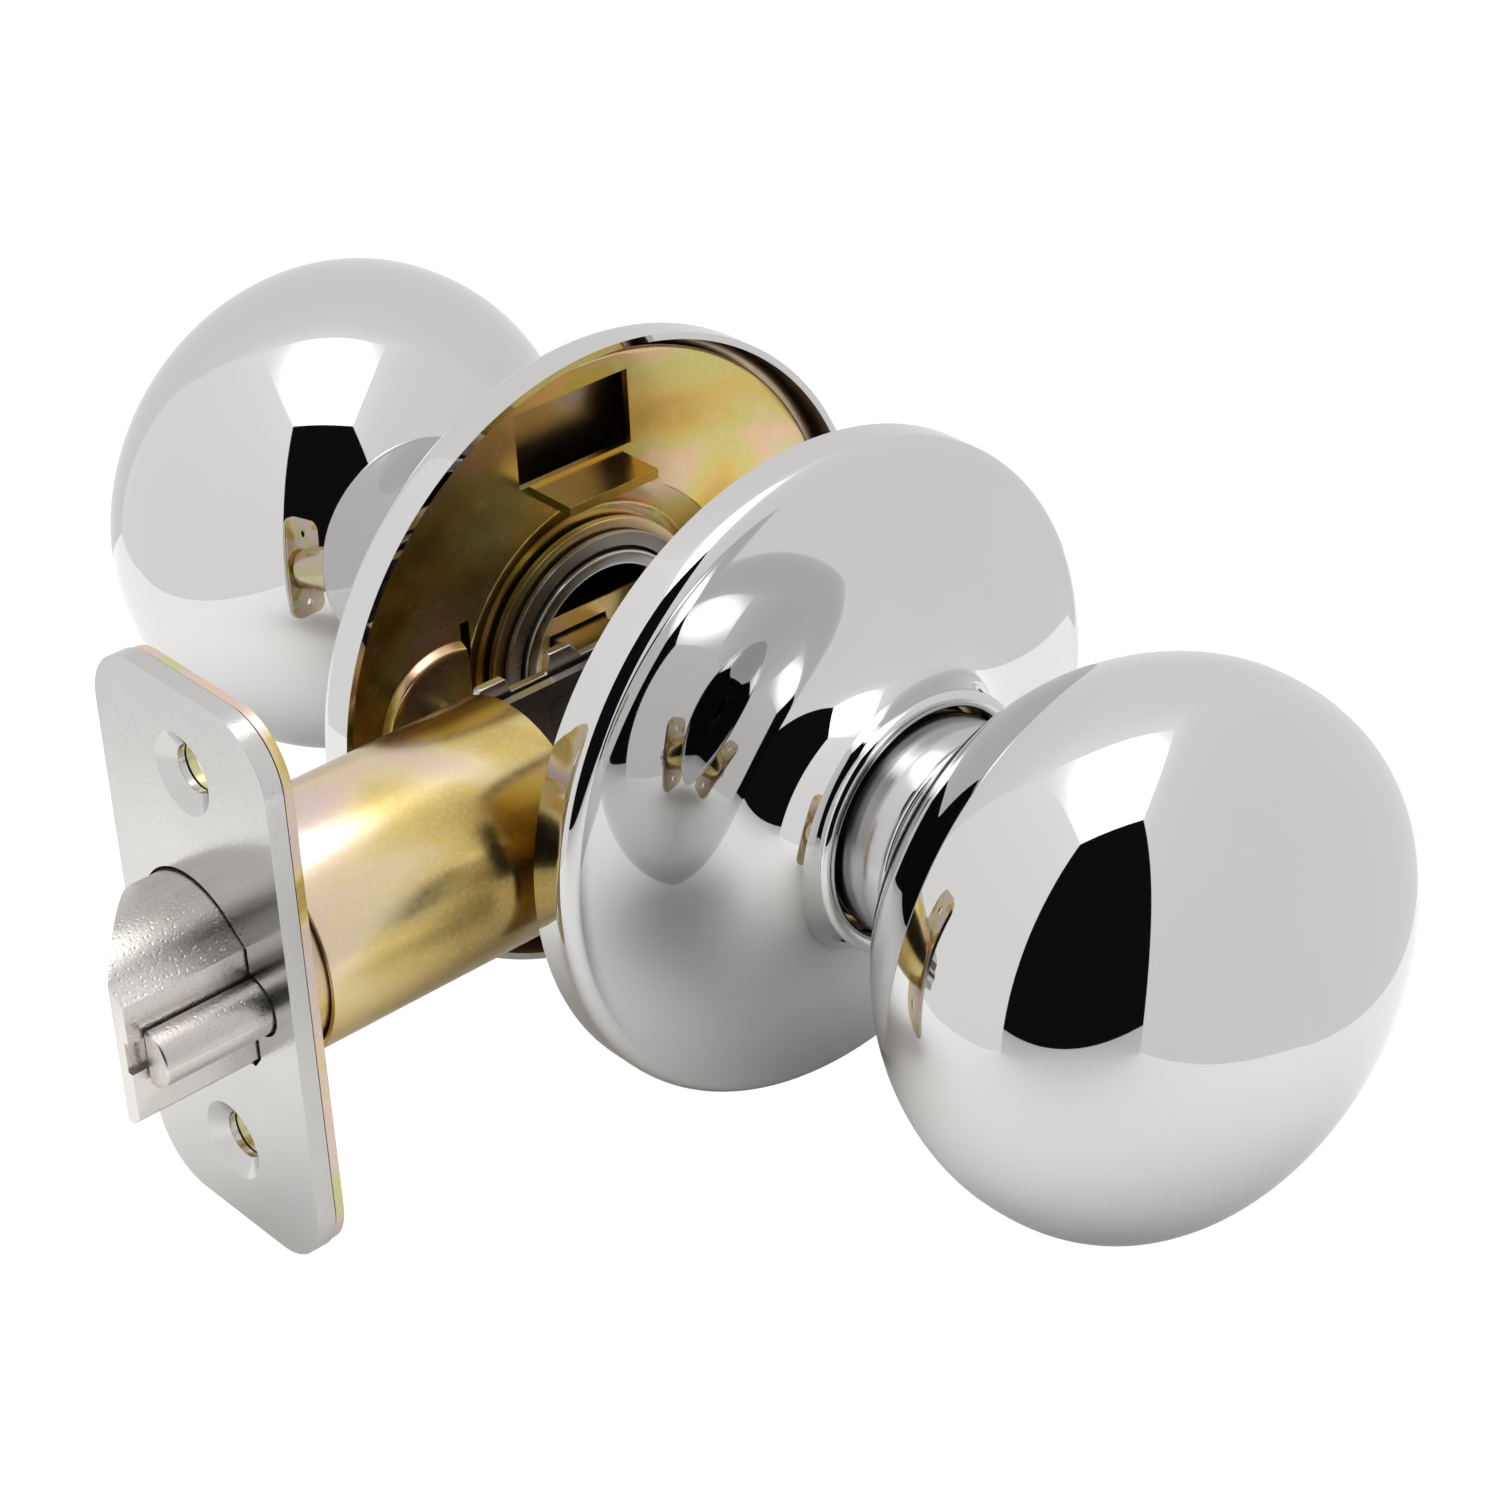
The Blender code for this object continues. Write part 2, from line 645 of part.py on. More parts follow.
def drawbar():
    """A fork of two plates riveted to the bolt, whose prongs reach past the hub to two hooks."""
    fork_x = -38.2 * MM
    hook_x = (-3.7 * MM, -2.4 * MM)
    hook_z = (9.4 * MM, 12.2 * MM)
    prong = (5.8 * MM, 7.9 * MM)
    upper = [
        (-54.0 * MM, 5.0 * MM),
        (-52.0 * MM, 6.5 * MM),
        (-42.0 * MM, 6.5 * MM),
        (-40.0 * MM, prong[1]),
        (-8.0 * MM, prong[1]),
        (hook_x[0], hook_z[1] - 2.5 * MM),
        (hook_x[0], hook_z[1]),
        (hook_x[1], hook_z[1]),
        (hook_x[1], prong[0]),
        (fork_x, prong[0]),
    ]
    outline = upper + [(x, -z) for x, z in reversed(upper)]
    low, high = BAR_INNER_Y, BAR_INNER_Y + BAR_THICK
    made = sheet("drawbar", [outline], low, high, BAR_SHEET, STEEL)
    other = sheet("drawbar_other_side", [outline], -high, -low, BAR_SHEET, None)
    bars = []
    for word, sign in (("upper", 1), ("lower", -1)):
        span = sorted((sign * hook_z[0], sign * hook_z[1]))
        bars.append(
            box(
                f"drawbar_hook_{word}",
                (hook_x[0] + 0.01 * MM, span[0], -high + 0.2 * MM),
                (hook_x[1] - 0.01 * MM, span[1] - 0.01 * MM, high - 0.2 * MM),
                BAR_SHEET,
            )
        )
    spring_tab = box(
        "drawbar_spring_tab",
        (-39.6 * MM, -3.6 * MM, BAR_INNER_Y + 0.3 * MM),
        (-38.4 * MM, 1.6 * MM, 9.4 * MM),
        BAR_SHEET,
    )
    join(made, *bars, other, spring_tab)
    cut(made, pin_cutter("drawbar_rivet_hole", (-50 * MM, 0.5 * MM), 1.4 * MM, -8 * MM, 8 * MM, BAR_SHEET))


def bolt_rivet():
    """Joins the drawbar's plates to the bolt's tail."""
    head = BAR_INNER_Y + BAR_THICK + 0.2 * MM
    profile = [(0, head + 0.4 * MM), (1.9 * MM, head + 0.4 * MM), (1.9 * MM, head), (1.1 * MM, head)]
    profile += [(radius, -height) for radius, height in reversed(profile)]
    made = turned("bolt_rivet", profile, BAR_SHEET, STEEL, closed=False, steps=10)
    made.location = (-50 * MM, 0.5 * MM, 0)


def bolt_spring_and_seat():
    centre = (0, 0.5 * MM)
    coil("bolt_spring", centre, 3.2 * MM, 0.4 * MM, 5, BOLT_REAR_X + 0.3 * MM, -25.8 * MM, LATCH)
    made = sheet(
        "spring_seat",
        [rounded_rectangle(11.6 * MM, 10.4 * MM, 1.5 * MM, 3)],
        -25.5 * MM,
        -24.5 * MM,
        LATCH,
        STEEL,
    )
    cut(made, pin_cutter("spring_seat_hole", centre, 1.8 * MM, -27 * MM, -23 * MM, LATCH))


def case_plates():
    """The two side plates behind the sleeve, which carry the hub."""
    upper = [
        (-30.0 * MM, 7.6 * MM),
        (-24.4 * MM, 7.6 * MM),
        (-23.6 * MM, 9.6 * MM),
        (-20.6 * MM, 9.6 * MM),
        (-20.0 * MM, 8.0 * MM),
        (-15.6 * MM, 8.0 * MM),
        (-15.2 * MM, 10.0 * MM),
        (-12.6 * MM, 10.0 * MM),
        (-11.4 * MM, 8.4 * MM),
        (5.0 * MM, 8.4 * MM),
        (9.4 * MM, 4.6 * MM),
    ]
    outline = upper + [(x, -z) for x, z in reversed(upper)]
    holes = [
        circle((0, 0), HUB_RADIUS + SLIP),
        circle((-SCREW_OFFSET, 0), 2.4 * MM, 16),
        circle((CASE_RIVET_X, CASE_RIVET_Z), 1.3 * MM, 12),
        circle((CASE_RIVET_X, -CASE_RIVET_Z), 1.3 * MM, 12),
    ]
    low, high = CASE_INNER_Y, CASE_INNER_Y + CASE_THICK
    front = sheet("case_plate_front", [outline, *holes], low, high, SHEET, STEEL)
    sheet("case_plate_rear", [outline, *holes], -high, -low, SHEET, STEEL)
    # The drawbar's spring tab slides in this slot.
    slot = box("case_slot", (-31 * MM, -4.2 * MM, low - MM), (-25.9 * MM, 2.2 * MM, high + MM), SHEET)
    cut(front, slot)


def case_rivets():
    neck = CASE_INNER_Y - 0.3 * MM
    head = CASE_INNER_Y + CASE_THICK + 0.3 * MM
    for word, sign in (("upper", 1), ("lower", -1)):
        profile = [
            (0, head + 0.6 * MM),
            (1.7 * MM, head + 0.5 * MM),
            (1.8 * MM, head),
            (1.0 * MM, head),
            (1.0 * MM, neck),
            (1.8 * MM, neck),
        ]
        profile += [(radius, -height) for radius, height in reversed(profile)]
        made = turned(f"case_rivet_{word}", profile, SHEET, STEEL, closed=False, steps=10)
        made.location = (CASE_RIVET_X, sign * CASE_RIVET_Z, 0)


def hub_cam():
    """The hub that the spindle turns. Its two wings lean to the latch, and push the drawbar's hooks."""
    hole = half_round(SPINDLE_RADIUS + SLIP, SPINDLE_FLAT + SLIP)
    made = sheet("hub_cam", [circle((0, 0), HUB_RADIUS), hole], -HUB_HALF, HUB_HALF, HUB_SHEET, STEEL)
    along = (-math.sin(LUG_LEAN), math.cos(LUG_LEAN))
    across = (along[1], -along[0])
    half = 1.0 * MM
    for word, sign in (("upper", 1), ("lower", -1)):
        outline = []
        for reach, side in ((4.4 * MM, 1.3 * MM), (LUG_TIP - half, half), (LUG_TIP, half * 0.5)):
            outline.append((reach, side))
        outline += [(reach, -side) for reach, side in reversed(outline)]
        placed = [
            (reach * along[0] + side * across[0], sign * (reach * along[1] + side * across[1]))
            for reach, side in outline
        ]
        wing = sheet(f"hub_wing_{word}", [placed], -4.2 * MM, 4.2 * MM, HUB_SHEET, None)
        join(made, wing)


def spindle():
    outline = half_round(SPINDLE_RADIUS, SPINDLE_FLAT)
    sheet("spindle", [outline], -REAR_RIM_Y - 8.2 * MM, -FRONT_RIM_Y + 8.2 * MM, HUB_SHEET, ZINC)


for side_name, side_frames in SIDES.items():
    side_assembly(side_name, side_frames)
threaded_posts()
mounting_screws()
faceplates()
tube("inner_tube", TUBE_BORE, TUBE_RADIUS, -BACKSET + FACE_THICK + BACK_THICK + 0.6 * MM, TUBE_TO_X)
tube("backset_sleeve", SLEEVE_BORE, SLEEVE_RADIUS, SLEEVE_FROM_X, SLEEVE_TO_X)
latch_bolt()
deadlatch_plunger()
drawbar()
bolt_rivet()
bolt_spring_and_seat()
case_plates()
case_rivets()
hub_cam()
spindle()
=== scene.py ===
import math

import bmesh
import bpy
from mathutils import Matrix, Vector


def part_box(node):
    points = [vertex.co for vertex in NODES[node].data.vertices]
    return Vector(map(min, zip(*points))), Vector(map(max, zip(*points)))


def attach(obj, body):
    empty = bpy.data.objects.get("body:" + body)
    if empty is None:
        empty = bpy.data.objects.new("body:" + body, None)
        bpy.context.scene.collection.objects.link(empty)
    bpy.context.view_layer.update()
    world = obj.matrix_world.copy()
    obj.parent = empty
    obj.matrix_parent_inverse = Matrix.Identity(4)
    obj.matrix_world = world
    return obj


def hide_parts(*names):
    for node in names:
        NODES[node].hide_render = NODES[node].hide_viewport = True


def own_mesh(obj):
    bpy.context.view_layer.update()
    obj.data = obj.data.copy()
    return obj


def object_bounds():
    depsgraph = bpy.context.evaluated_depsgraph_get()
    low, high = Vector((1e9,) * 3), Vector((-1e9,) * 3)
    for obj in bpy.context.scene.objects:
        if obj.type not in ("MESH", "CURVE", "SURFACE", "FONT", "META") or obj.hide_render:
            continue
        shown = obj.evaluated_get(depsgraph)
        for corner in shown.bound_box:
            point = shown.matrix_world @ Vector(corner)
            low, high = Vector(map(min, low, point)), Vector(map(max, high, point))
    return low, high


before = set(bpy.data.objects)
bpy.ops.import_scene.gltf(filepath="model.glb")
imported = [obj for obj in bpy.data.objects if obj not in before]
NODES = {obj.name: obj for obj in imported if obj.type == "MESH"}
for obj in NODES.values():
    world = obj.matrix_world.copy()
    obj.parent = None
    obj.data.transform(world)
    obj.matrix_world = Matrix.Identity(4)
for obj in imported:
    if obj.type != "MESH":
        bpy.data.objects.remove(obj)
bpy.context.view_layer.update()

MM = 0.001

# The rose's open rims stand on the door's two faces. Each side's height runs outwards from its own rim.
FRONT_RIM_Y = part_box("front_rose")[1][1]
REAR_RIM_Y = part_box("rear_rose")[0][1]
SIDES = {
    "front": Matrix.Translation((0, FRONT_RIM_Y, 0)) @ Matrix.Rotation(math.radians(90), 4, "X"),
    "rear": Matrix.Translation((0, REAR_RIM_Y, 0))
    @ Matrix.Rotation(math.radians(180), 4, "Z")
    @ Matrix.Rotation(math.radians(90), 4, "X"),
}
# The latch's frame has (y, z) as its plane and x as its height.
LATCH = Matrix(((0, 0, 1, 0), (1, 0, 0, 0), (0, 1, 0, 0), (0, 0, 0, 1)))
# Sheets that stand across the knobs' axis have (x, z) as their plane and -y as their height.
ACROSS = Matrix.Rotation(math.radians(90), 4, "X")
WORLD = Matrix.Identity(4)

SEGMENTS = 144
ROSE_SEGMENTS = 192
KNOB_SEGMENTS = 256
COIL_STEPS = 48
SHARP = math.radians(32)

# ---------------------------------------------------------------- material nodes


class Nodes:
    """Adds shader nodes to one material, from values or other nodes' sockets."""

    def __init__(self, name):
        self.material = bpy.data.materials.new(name)
        self.material.use_nodes = True
        self.tree = self.material.node_tree
        self.shader = self.tree.nodes["Principled BSDF"]
        self.place = self.tree.nodes.new("ShaderNodeTexCoord").outputs["Object"]

    def wire(self, value, socket):
        if isinstance(value, bpy.types.NodeSocket):
            self.tree.links.new(value, socket)
        else:
            socket.default_value = value

    def math(self, operation, a, b=0.0, c=0.0, clamp=False):
        node = self.tree.nodes.new("ShaderNodeMath")
        node.operation = operation
        node.use_clamp = clamp
        for value, socket in zip((a, b, c), node.inputs, strict=True):
            self.wire(value, socket)
        return node.outputs[0]

    def scaled(self, scale, vector=None):
        """The place stretched along its axes, in features per metre."""
        node = self.tree.nodes.new("ShaderNodeMapping")
        self.wire(self.place if vector is None else vector, node.inputs["Vector"])
        node.inputs["Scale"].default_value = scale
        return node.outputs[0]

    def noise(self, vector, detail=3.0, rough=0.5, scale=1.0, distortion=0.0):
        node = self.tree.nodes.new("ShaderNodeTexNoise")
        self.wire(vector, node.inputs["Vector"])
        node.inputs["Scale"].default_value = scale
        node.inputs["Detail"].default_value = detail
        node.inputs["Roughness"].default_value = rough
        node.inputs["Distortion"].default_value = distortion
        return node.outputs["Fac"]

    def cells(self, vector, scale=1.0):
        node = self.tree.nodes.new("ShaderNodeTexVoronoi")
        self.wire(vector, node.inputs["Vector"])
        node.inputs["Scale"].default_value = scale
        return node.outputs["Distance"]

    def ramp(self, factor, stops):
        """A colour ramp from (position, colour) stops, where a colour may be one grey value."""
        node = self.tree.nodes.new("ShaderNodeValToRGB")
        self.wire(factor, node.inputs[0])
        band = node.color_ramp
        while len(band.elements) < len(stops):
            band.elements.new(0.5)
        for element, (position, colour) in zip(band.elements, stops, strict=True):
            element.position = position
            element.color = (*colour, 1) if isinstance(colour, tuple) else (colour, colour, colour, 1)
        return node.outputs[0]

    def mix(self, factor, a, b, blend="MIX"):
        node = self.tree.nodes.new("ShaderNodeMix")
        node.data_type = "RGBA"
        node.blend_type = blend
        for value, socket in ((factor, node.inputs[0]), (a, node.inputs[6]), (b, node.inputs[7])):
            if isinstance(value, tuple):
                value = (*value, 1)
            self.wire(value, socket)
        return node.outputs[2]

    def polar(self):
        """The radius and angle about the knobs' axis, and the place along it, as three sockets."""
        split = self.tree.nodes.new("ShaderNodeSeparateXYZ")
        self.wire(self.place, split.inputs[0])
        x, y, z = split.outputs
        squares = [self.math("MULTIPLY", side, side) for side in (x, z)]
        return self.math("SQRT", self.math("ADD", *squares)), self.math("ARCTAN2", z, x), y

    def vector(self, x=0.0, y=0.0, z=0.0):
        node = self.tree.nodes.new("ShaderNodeCombineXYZ")
        for value, socket in zip((x, y, z), node.inputs, strict=True):
            self.wire(value, socket)
        return node.outputs[0]

    def edges(self):
        """Near 1 on convex edges, from the shape's pointiness: the mask for painted edge highlights."""
        geometry = self.tree.nodes.new("ShaderNodeNewGeometry")
        return self.ramp(geometry.outputs["Pointiness"], ((0.50, 0.0), (0.60, 1.0)))

    def finish(self, colour, roughness, bump=None, strength=0.1, distance=0.0001, metal=1.0):
        self.wire((*colour, 1) if isinstance(colour, tuple) else colour, self.shader.inputs["Base Color"])
        self.wire(roughness, self.shader.inputs["Roughness"])
        self.shader.inputs["Metallic"].default_value = metal
        if bump is not None:
            node = self.tree.nodes.new("ShaderNodeBump")
            node.inputs["Strength"].default_value = strength
            node.inputs["Distance"].default_value = distance
            self.wire(bump, node.inputs["Height"])
            self.wire(node.outputs[0], self.shader.inputs["Normal"])
        return self.material


def chrome_material():
    """Bright plating on a polished pressing: a long faint ripple, and fine polishing haze."""
    n = Nodes("bright_chrome")
    ripple = n.noise(n.scaled((90, 90, 90)), detail=1.0)
    haze = n.noise(n.scaled((900, 900, 900)), detail=4.0, rough=0.7)
    tint = n.mix(n.noise(n.scaled((40, 40, 40)), detail=2.0), (0.62, 0.623, 0.626), (0.66, 0.659, 0.656))
    rough = n.math("ADD", n.math("MULTIPLY", haze, 0.020), 0.012)
    return n.finish(tint, rough, ripple, strength=0.05, distance=0.0002)


def face_chrome_material():
    """Plating on a stamped faceplate: a frosted peel of fine pits."""
    n = Nodes("faceplate_chrome")
    peel = n.noise(n.scaled((2600, 2600, 2600)), detail=2.0, rough=0.6)
    drift = n.noise(n.scaled((120, 120, 120)), detail=2.0)
    tint = n.mix(drift, (0.53, 0.53, 0.525), (0.62, 0.62, 0.615))
    rough = n.math("ADD", n.math("MULTIPLY", peel, 0.16), 0.10)
    return n.finish(tint, rough, peel, strength=0.22, distance=0.00006)


def cast_chrome_material():
    """Plating on a sintered bolt: grainy satin, with a painted highlight that lightens its convex edges.
    """
    n = Nodes("bolt_chrome")
    grain = n.noise(n.scaled((3200, 3200, 3200)), detail=3.0, rough=0.7)
    pits = n.ramp(n.cells(n.scaled((1900, 1900, 1900))), ((0.0, 0.0), (0.35, 1.0)))
    tint = n.mix(grain, (0.47, 0.445, 0.42), (0.66, 0.63, 0.60))
    # Painted highlight: the convex edges are mixed towards a light colour, from the shape's pointiness.
    tint = n.mix(n.math("MULTIPLY", n.edges(), 0.5), tint, (0.86, 0.84, 0.81))
    rough = n.math("ADD", n.math("MULTIPLY", grain, 0.20), 0.20)
    return n.finish(tint, rough, n.math("ADD", grain, pits), strength=0.25, distance=0.00008)


def satin_nickel_material():
    """The drawn neck tube: fine turning marks round its axis."""
    n = Nodes("satin_nickel")
    _, angle, along = n.polar()
    rings = n.noise(n.vector(n.math("MULTIPLY", along, 9000), n.math("MULTIPLY", angle, 1.5)), detail=2.0)
    cloud = n.noise(n.scaled((160, 160, 160)), detail=2.0)
    tint = n.mix(cloud, (0.468, 0.476, 0.499), (0.577, 0.577, 0.593))
    rough = n.math("ADD", n.math("MULTIPLY", rings, 0.14), 0.14)
    return n.finish(tint, rough, rings, strength=0.10, distance=0.00004)


def yellow_zinc_material(name, along=(1, 1, 1), gold=0.0, shine=0.20):
    """Yellow chromate over zinc: a gold film that drifts to straw, pink and green, with rub marks."""
    n = Nodes(name)
    film = n.noise(n.scaled(tuple(48 * s for s in along)), detail=2.5, rough=0.5, distortion=0.6)
    tint = n.ramp(
        film,
        (
            (0.34, (0.50, 0.35, 0.10)),
            (0.40, (0.66, 0.50, 0.17)),
            (0.45, (0.76, 0.62, 0.36)),
            (0.50, (0.76, 0.58, 0.48)),
            (0.56, (0.72, 0.58, 0.56)),
            (0.63, (0.64, 0.62, 0.32)),
        ),
    )
    tint = n.mix(gold, tint, (0.60, 0.42, 0.13))
    cloud = n.noise(n.scaled((2200, 2200, 2200)), detail=3.0, rough=0.65)
    tint = n.mix(n.ramp(cloud, ((0.50, 0.0), (0.75, 0.30))), tint, (0.74, 0.72, 0.68))
    streak = n.noise(n.scaled(tuple(1500 * s for s in along)), detail=3.0, rough=0.6)
    rough = n.math("ADD", n.math("MULTIPLY", streak, 0.14), shine)
    return n.finish(tint, rough, streak, strength=0.07, distance=0.00005)


def dull_zinc_material():
    """Plain zinc on the case's plates: a mottled warm grey, with a painted highlight that lightens the
    edges.
    """
    n = Nodes("dull_zinc")
    mottle = n.noise(n.scaled((260, 260, 260)), detail=4.0, rough=0.6)
    tint = n.mix(mottle, (0.36, 0.35, 0.34), (0.62, 0.60, 0.58))
    # Painted highlight: the edges are mixed towards a light colour, from the shape's pointiness.
    tint = n.mix(n.math("MULTIPLY", n.edges(), 0.6), tint, (0.82, 0.80, 0.77))
    rough = n.math("ADD", n.math("MULTIPLY", mottle, 0.20), 0.16)
    return n.finish(tint, rough, mottle, strength=0.12, distance=0.00010)


def plain_steel_material():
    """Bare pressed steel with a thin oil film: dark, with rolling marks."""
    n = Nodes("plain_steel")
    marks = n.noise(n.scaled((200, 2400, 2400)), detail=3.0, rough=0.6)
    stain = n.noise(n.scaled((140, 140, 140)), detail=3.0)
    tint = n.mix(stain, (0.30, 0.29, 0.28), (0.52, 0.50, 0.47))
    rough = n.math("ADD", n.math("MULTIPLY", marks, 0.20), 0.20)
    return n.finish(tint, rough, marks, strength=0.12, distance=0.00006)


def spring_steel_material():
    """Drawn wire: bright, with fine die lines."""
    n = Nodes("spring_steel")
    lines = n.noise(n.scaled((3000, 500, 3000)), detail=2.0)
    tint = n.mix(lines, (0.50, 0.50, 0.52), (0.72, 0.72, 0.73))
    rough = n.math("ADD", n.math("MULTIPLY", lines, 0.12), 0.16)
    return n.finish(tint, rough, lines, strength=0.08, distance=0.00003)


def rose_inside_material():
    """The covers' unplated inner side: drawn steel with draw marks, tinted brown as a painted reflection.
    """
    n = Nodes("rose_inside")
    marks = n.noise(n.scaled((700, 90, 700)), detail=3.0, rough=0.6)
    stain = n.noise(n.scaled((60, 60, 60)), detail=3.0)
    # Painted reflection: a dark brown tint in place of the brown that the inner side reflects.
    tint = n.mix(stain, (0.34, 0.26, 0.19), (0.50, 0.41, 0.33))
    rough = n.math("ADD", n.math("MULTIPLY", marks, 0.16), 0.22)
    return n.finish(tint, rough, marks, strength=0.06, distance=0.00008)


def plate_zinc_material():
    """The mounting plate: yellow chromate in broad bands of colour, with painted shade that turns it brown
    below and paler above.
    """
    n = Nodes("plate_zinc")
    radius, angle, along = n.polar()
    scales = ((radius, 62), (angle, 0.8), (along, 20))
    spread = n.vector(*(n.math("MULTIPLY", socket, scale) for socket, scale in scales))
    film = n.noise(spread, detail=2.0, rough=0.45, distortion=0.5)
    # Painted shade and light: the film shifts to dark brown towards the bottom and to paler colours at the
    # top.
    painted_shade_towards_bottom = n.math("MULTIPLY", n.math("SUBTRACT", n.math("SINE", angle), 0.4), 0.16)
    film = n.math("ADD", film, painted_shade_towards_bottom)
    tint = n.ramp(
        film,
        (
            (0.30, (0.34, 0.18, 0.03)),
            (0.42, (0.50, 0.31, 0.06)),
            (0.50, (0.66, 0.46, 0.13)),
            (0.57, (0.60, 0.53, 0.19)),
            (0.63, (0.76, 0.50, 0.33)),
            (0.70, (0.60, 0.58, 0.33)),
        ),
    )
    grime = n.noise(n.scaled((500, 500, 500)), detail=4.0, rough=0.65)
    tint = n.mix(n.ramp(grime, ((0.50, 0.0), (0.80, 0.25))), tint, (0.80, 0.70, 0.50))
    rough = n.math("ADD", n.math("MULTIPLY", grime, 0.16), 0.17)
    return n.finish(tint, rough, grime, strength=0.05, distance=0.00005)


CHROME = chrome_material()
FACE_CHROME = face_chrome_material()
BOLT_CHROME = cast_chrome_material()
NICKEL = satin_nickel_material()
TUBE_ZINC = yellow_zinc_material("tube_zinc", along=(0.7, 1, 1), shine=0.15)
PLATE_ZINC = plate_zinc_material()
GOLD_ZINC = yellow_zinc_material("gold_zinc", along=(2, 2, 2), gold=0.5, shine=0.24)
PALE_ZINC = yellow_zinc_material("pale_zinc", along=(2, 2, 2), gold=0.0, shine=0.22)
DULL_ZINC = dull_zinc_material()
ROSE_INSIDE = rose_inside_material()
STEEL = plain_steel_material()
WIRE = spring_steel_material()

# ---------------------------------------------------------------- mesh helpers


def link(name, data):
    made = bpy.data.objects.new(name, data)
    bpy.context.scene.collection.objects.link(made)
    return made


def stand_for(piece, body, slot, *nodes):
    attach(piece, body)
    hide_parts(*nodes)
    return piece


def settle(mesh, angle=SHARP):
    """Faces outwards and smooth, with sharp edges where the surface turns."""
    work = bmesh.new()
    work.from_mesh(mesh)
    bmesh.ops.remove_doubles(work, verts=work.verts, dist=1e-7)
    bmesh.ops.recalc_face_normals(work, faces=work.faces)
    work.to_mesh(mesh)
    work.free()
    mesh.shade_smooth()
    mesh.set_sharp_from_angle(angle=angle)
    return mesh


def rounded(profile, radius, closed=True, steps=5):
    """The profile with a smooth bend at each corner that turns by 25 degrees or more."""
    count = len(profile)
    points = []
    for i, here in enumerate(profile):
        if not closed and i in (0, count - 1):
            points.append(here)
            continue
        a = Vector(profile[i - 1]) - Vector(here)
        b = Vector(profile[(i + 1) % count]) - Vector(here)
        if min(a.length, b.length) < 1e-9:
            continue
        turn = math.pi - a.angle(b)
        if turn < math.radians(25):
            points.append(here)
            continue
        reach = min(radius * math.tan(turn / 2), a.length * 0.45, b.length * 0.45)
        start, end = Vector(here) + a.normalized() * reach, Vector(here) + b.normalized() * reach
        for step in range(steps + 1):
            t = step / steps
            points.append(tuple(start * (1 - t) ** 2 + Vector(here) * 2 * t * (1 - t) + end * t**2))
    return points


def lathe(name, profile, place, material, segments=SEGMENTS, closed=True):
    """A turned mesh from (radius, height) points. An open profile has both ends on the axis."""
    points, faces, rings = [], [], []
    for radius, height in profile:
        if radius < 1e-7:
            rings.append([len(points)] * segments)
            points.append((0, 0, height))
            continue
        rings.append([len(points) + i for i in range(segments)])
        for i in range(segments):
            angle = math.tau * i / segments
            points.append((radius * math.cos(angle), radius * math.sin(angle), height))
    pairs = list(zip(rings, rings[1:], strict=False))
    if closed:
        pairs.append((rings[-1], rings[0]))
    for low, high in pairs:
        for i in range(segments):
            j = (i + 1) % segments
            corners = list(dict.fromkeys((low[i], low[j], high[j], high[i])))
            if len(corners) > 2:
                faces.append(corners)
    mesh = bpy.data.meshes.new(name)
    mesh.from_pydata(points, [], faces)
    mesh.transform(place)
    made = link(name, settle(mesh))
    if material:
        mesh.materials.append(material)
    return made


def arc(centre, radius, start, end, count):
    points = []
    for i in range(count + 1):
        angle = math.radians(start + (end - start) * i / count)
        points.append((centre[0] + radius * math.cos(angle), centre[1] + radius * math.sin(angle)))
    return points


def circle(centre, radius, count=64):
    return arc(centre, radius, 0, 360, count)[:-1]


def rounded_rectangle(width, height, radius, count=16):
    points = []
    for sign_x, sign_y, start in ((1, 1, 0), (-1, 1, 90), (-1, -1, 180), (1, -1, 270)):
        centre = (sign_x * (width / 2 - radius), sign_y * (height / 2 - radius))
        points += arc(centre, radius, start, start + 90, count)
    return points


def half_round(radius, flat, count=48):
    tilt = math.degrees(math.asin(flat / radius))
    return arc((0, 0), radius, 180 - tilt, 360 + tilt, count)


def sheet(name, outlines, low, high, place, material):
    """A flat outline with its holes, from low to high on its frame's third axis."""
    curve = bpy.data.curves.new(name, "CURVE")
    curve.dimensions = "2D"
    curve.fill_mode = "BOTH"
    curve.extrude = (high - low) / 2
    for outline in outlines:
        spline = curve.splines.new("POLY")
        spline.points.add(len(outline) - 1)
        for point, (a, b) in zip(spline.points, outline, strict=True):
            point.co = (a, b, 0, 1)
        spline.use_cyclic_u = True
    drawn = link(name + "_outline", curve)
    bpy.context.view_layer.update()
    seen = drawn.evaluated_get(bpy.context.evaluated_depsgraph_get())
    mesh = bpy.data.meshes.new_from_object(seen)
    bpy.data.objects.remove(drawn, do_unlink=True)
    mesh.transform(place @ Matrix.Translation((0, 0, (low + high) / 2)))
    made = link(name, settle(mesh))
    mesh.materials.clear()
    if material:
        mesh.materials.append(material)
    return made


def box(name, low, high, place):
    mesh = bpy.data.meshes.new(name)
    work = bmesh.new()
    bmesh.ops.create_cube(work, size=1)
    bmesh.ops.scale(work, vec=[b - a for a, b in zip(low, high, strict=True)], verts=work.verts)
    bmesh.ops.translate(work, vec=[(a + b) / 2 for a, b in zip(low, high, strict=True)], verts=work.verts)
    work.to_mesh(mesh)
    work.free()
    mesh.transform(place)
    return link(name, mesh)


def moved(piece, vector, place):
    """Shifts a helper in its frame."""
    piece.data.transform(place @ Matrix.Translation(vector) @ place.inverted())
    return piece


def soften(piece, width, segments=3, angle=30):
    bevel = piece.modifiers.new("soft_edges", "BEVEL")
    bevel.width = width
    bevel.segments = segments
    bevel.limit_method = "ANGLE"
    bevel.angle_limit = math.radians(angle)
    bevel.harden_normals = False
    bevel.use_clamp_overlap = True


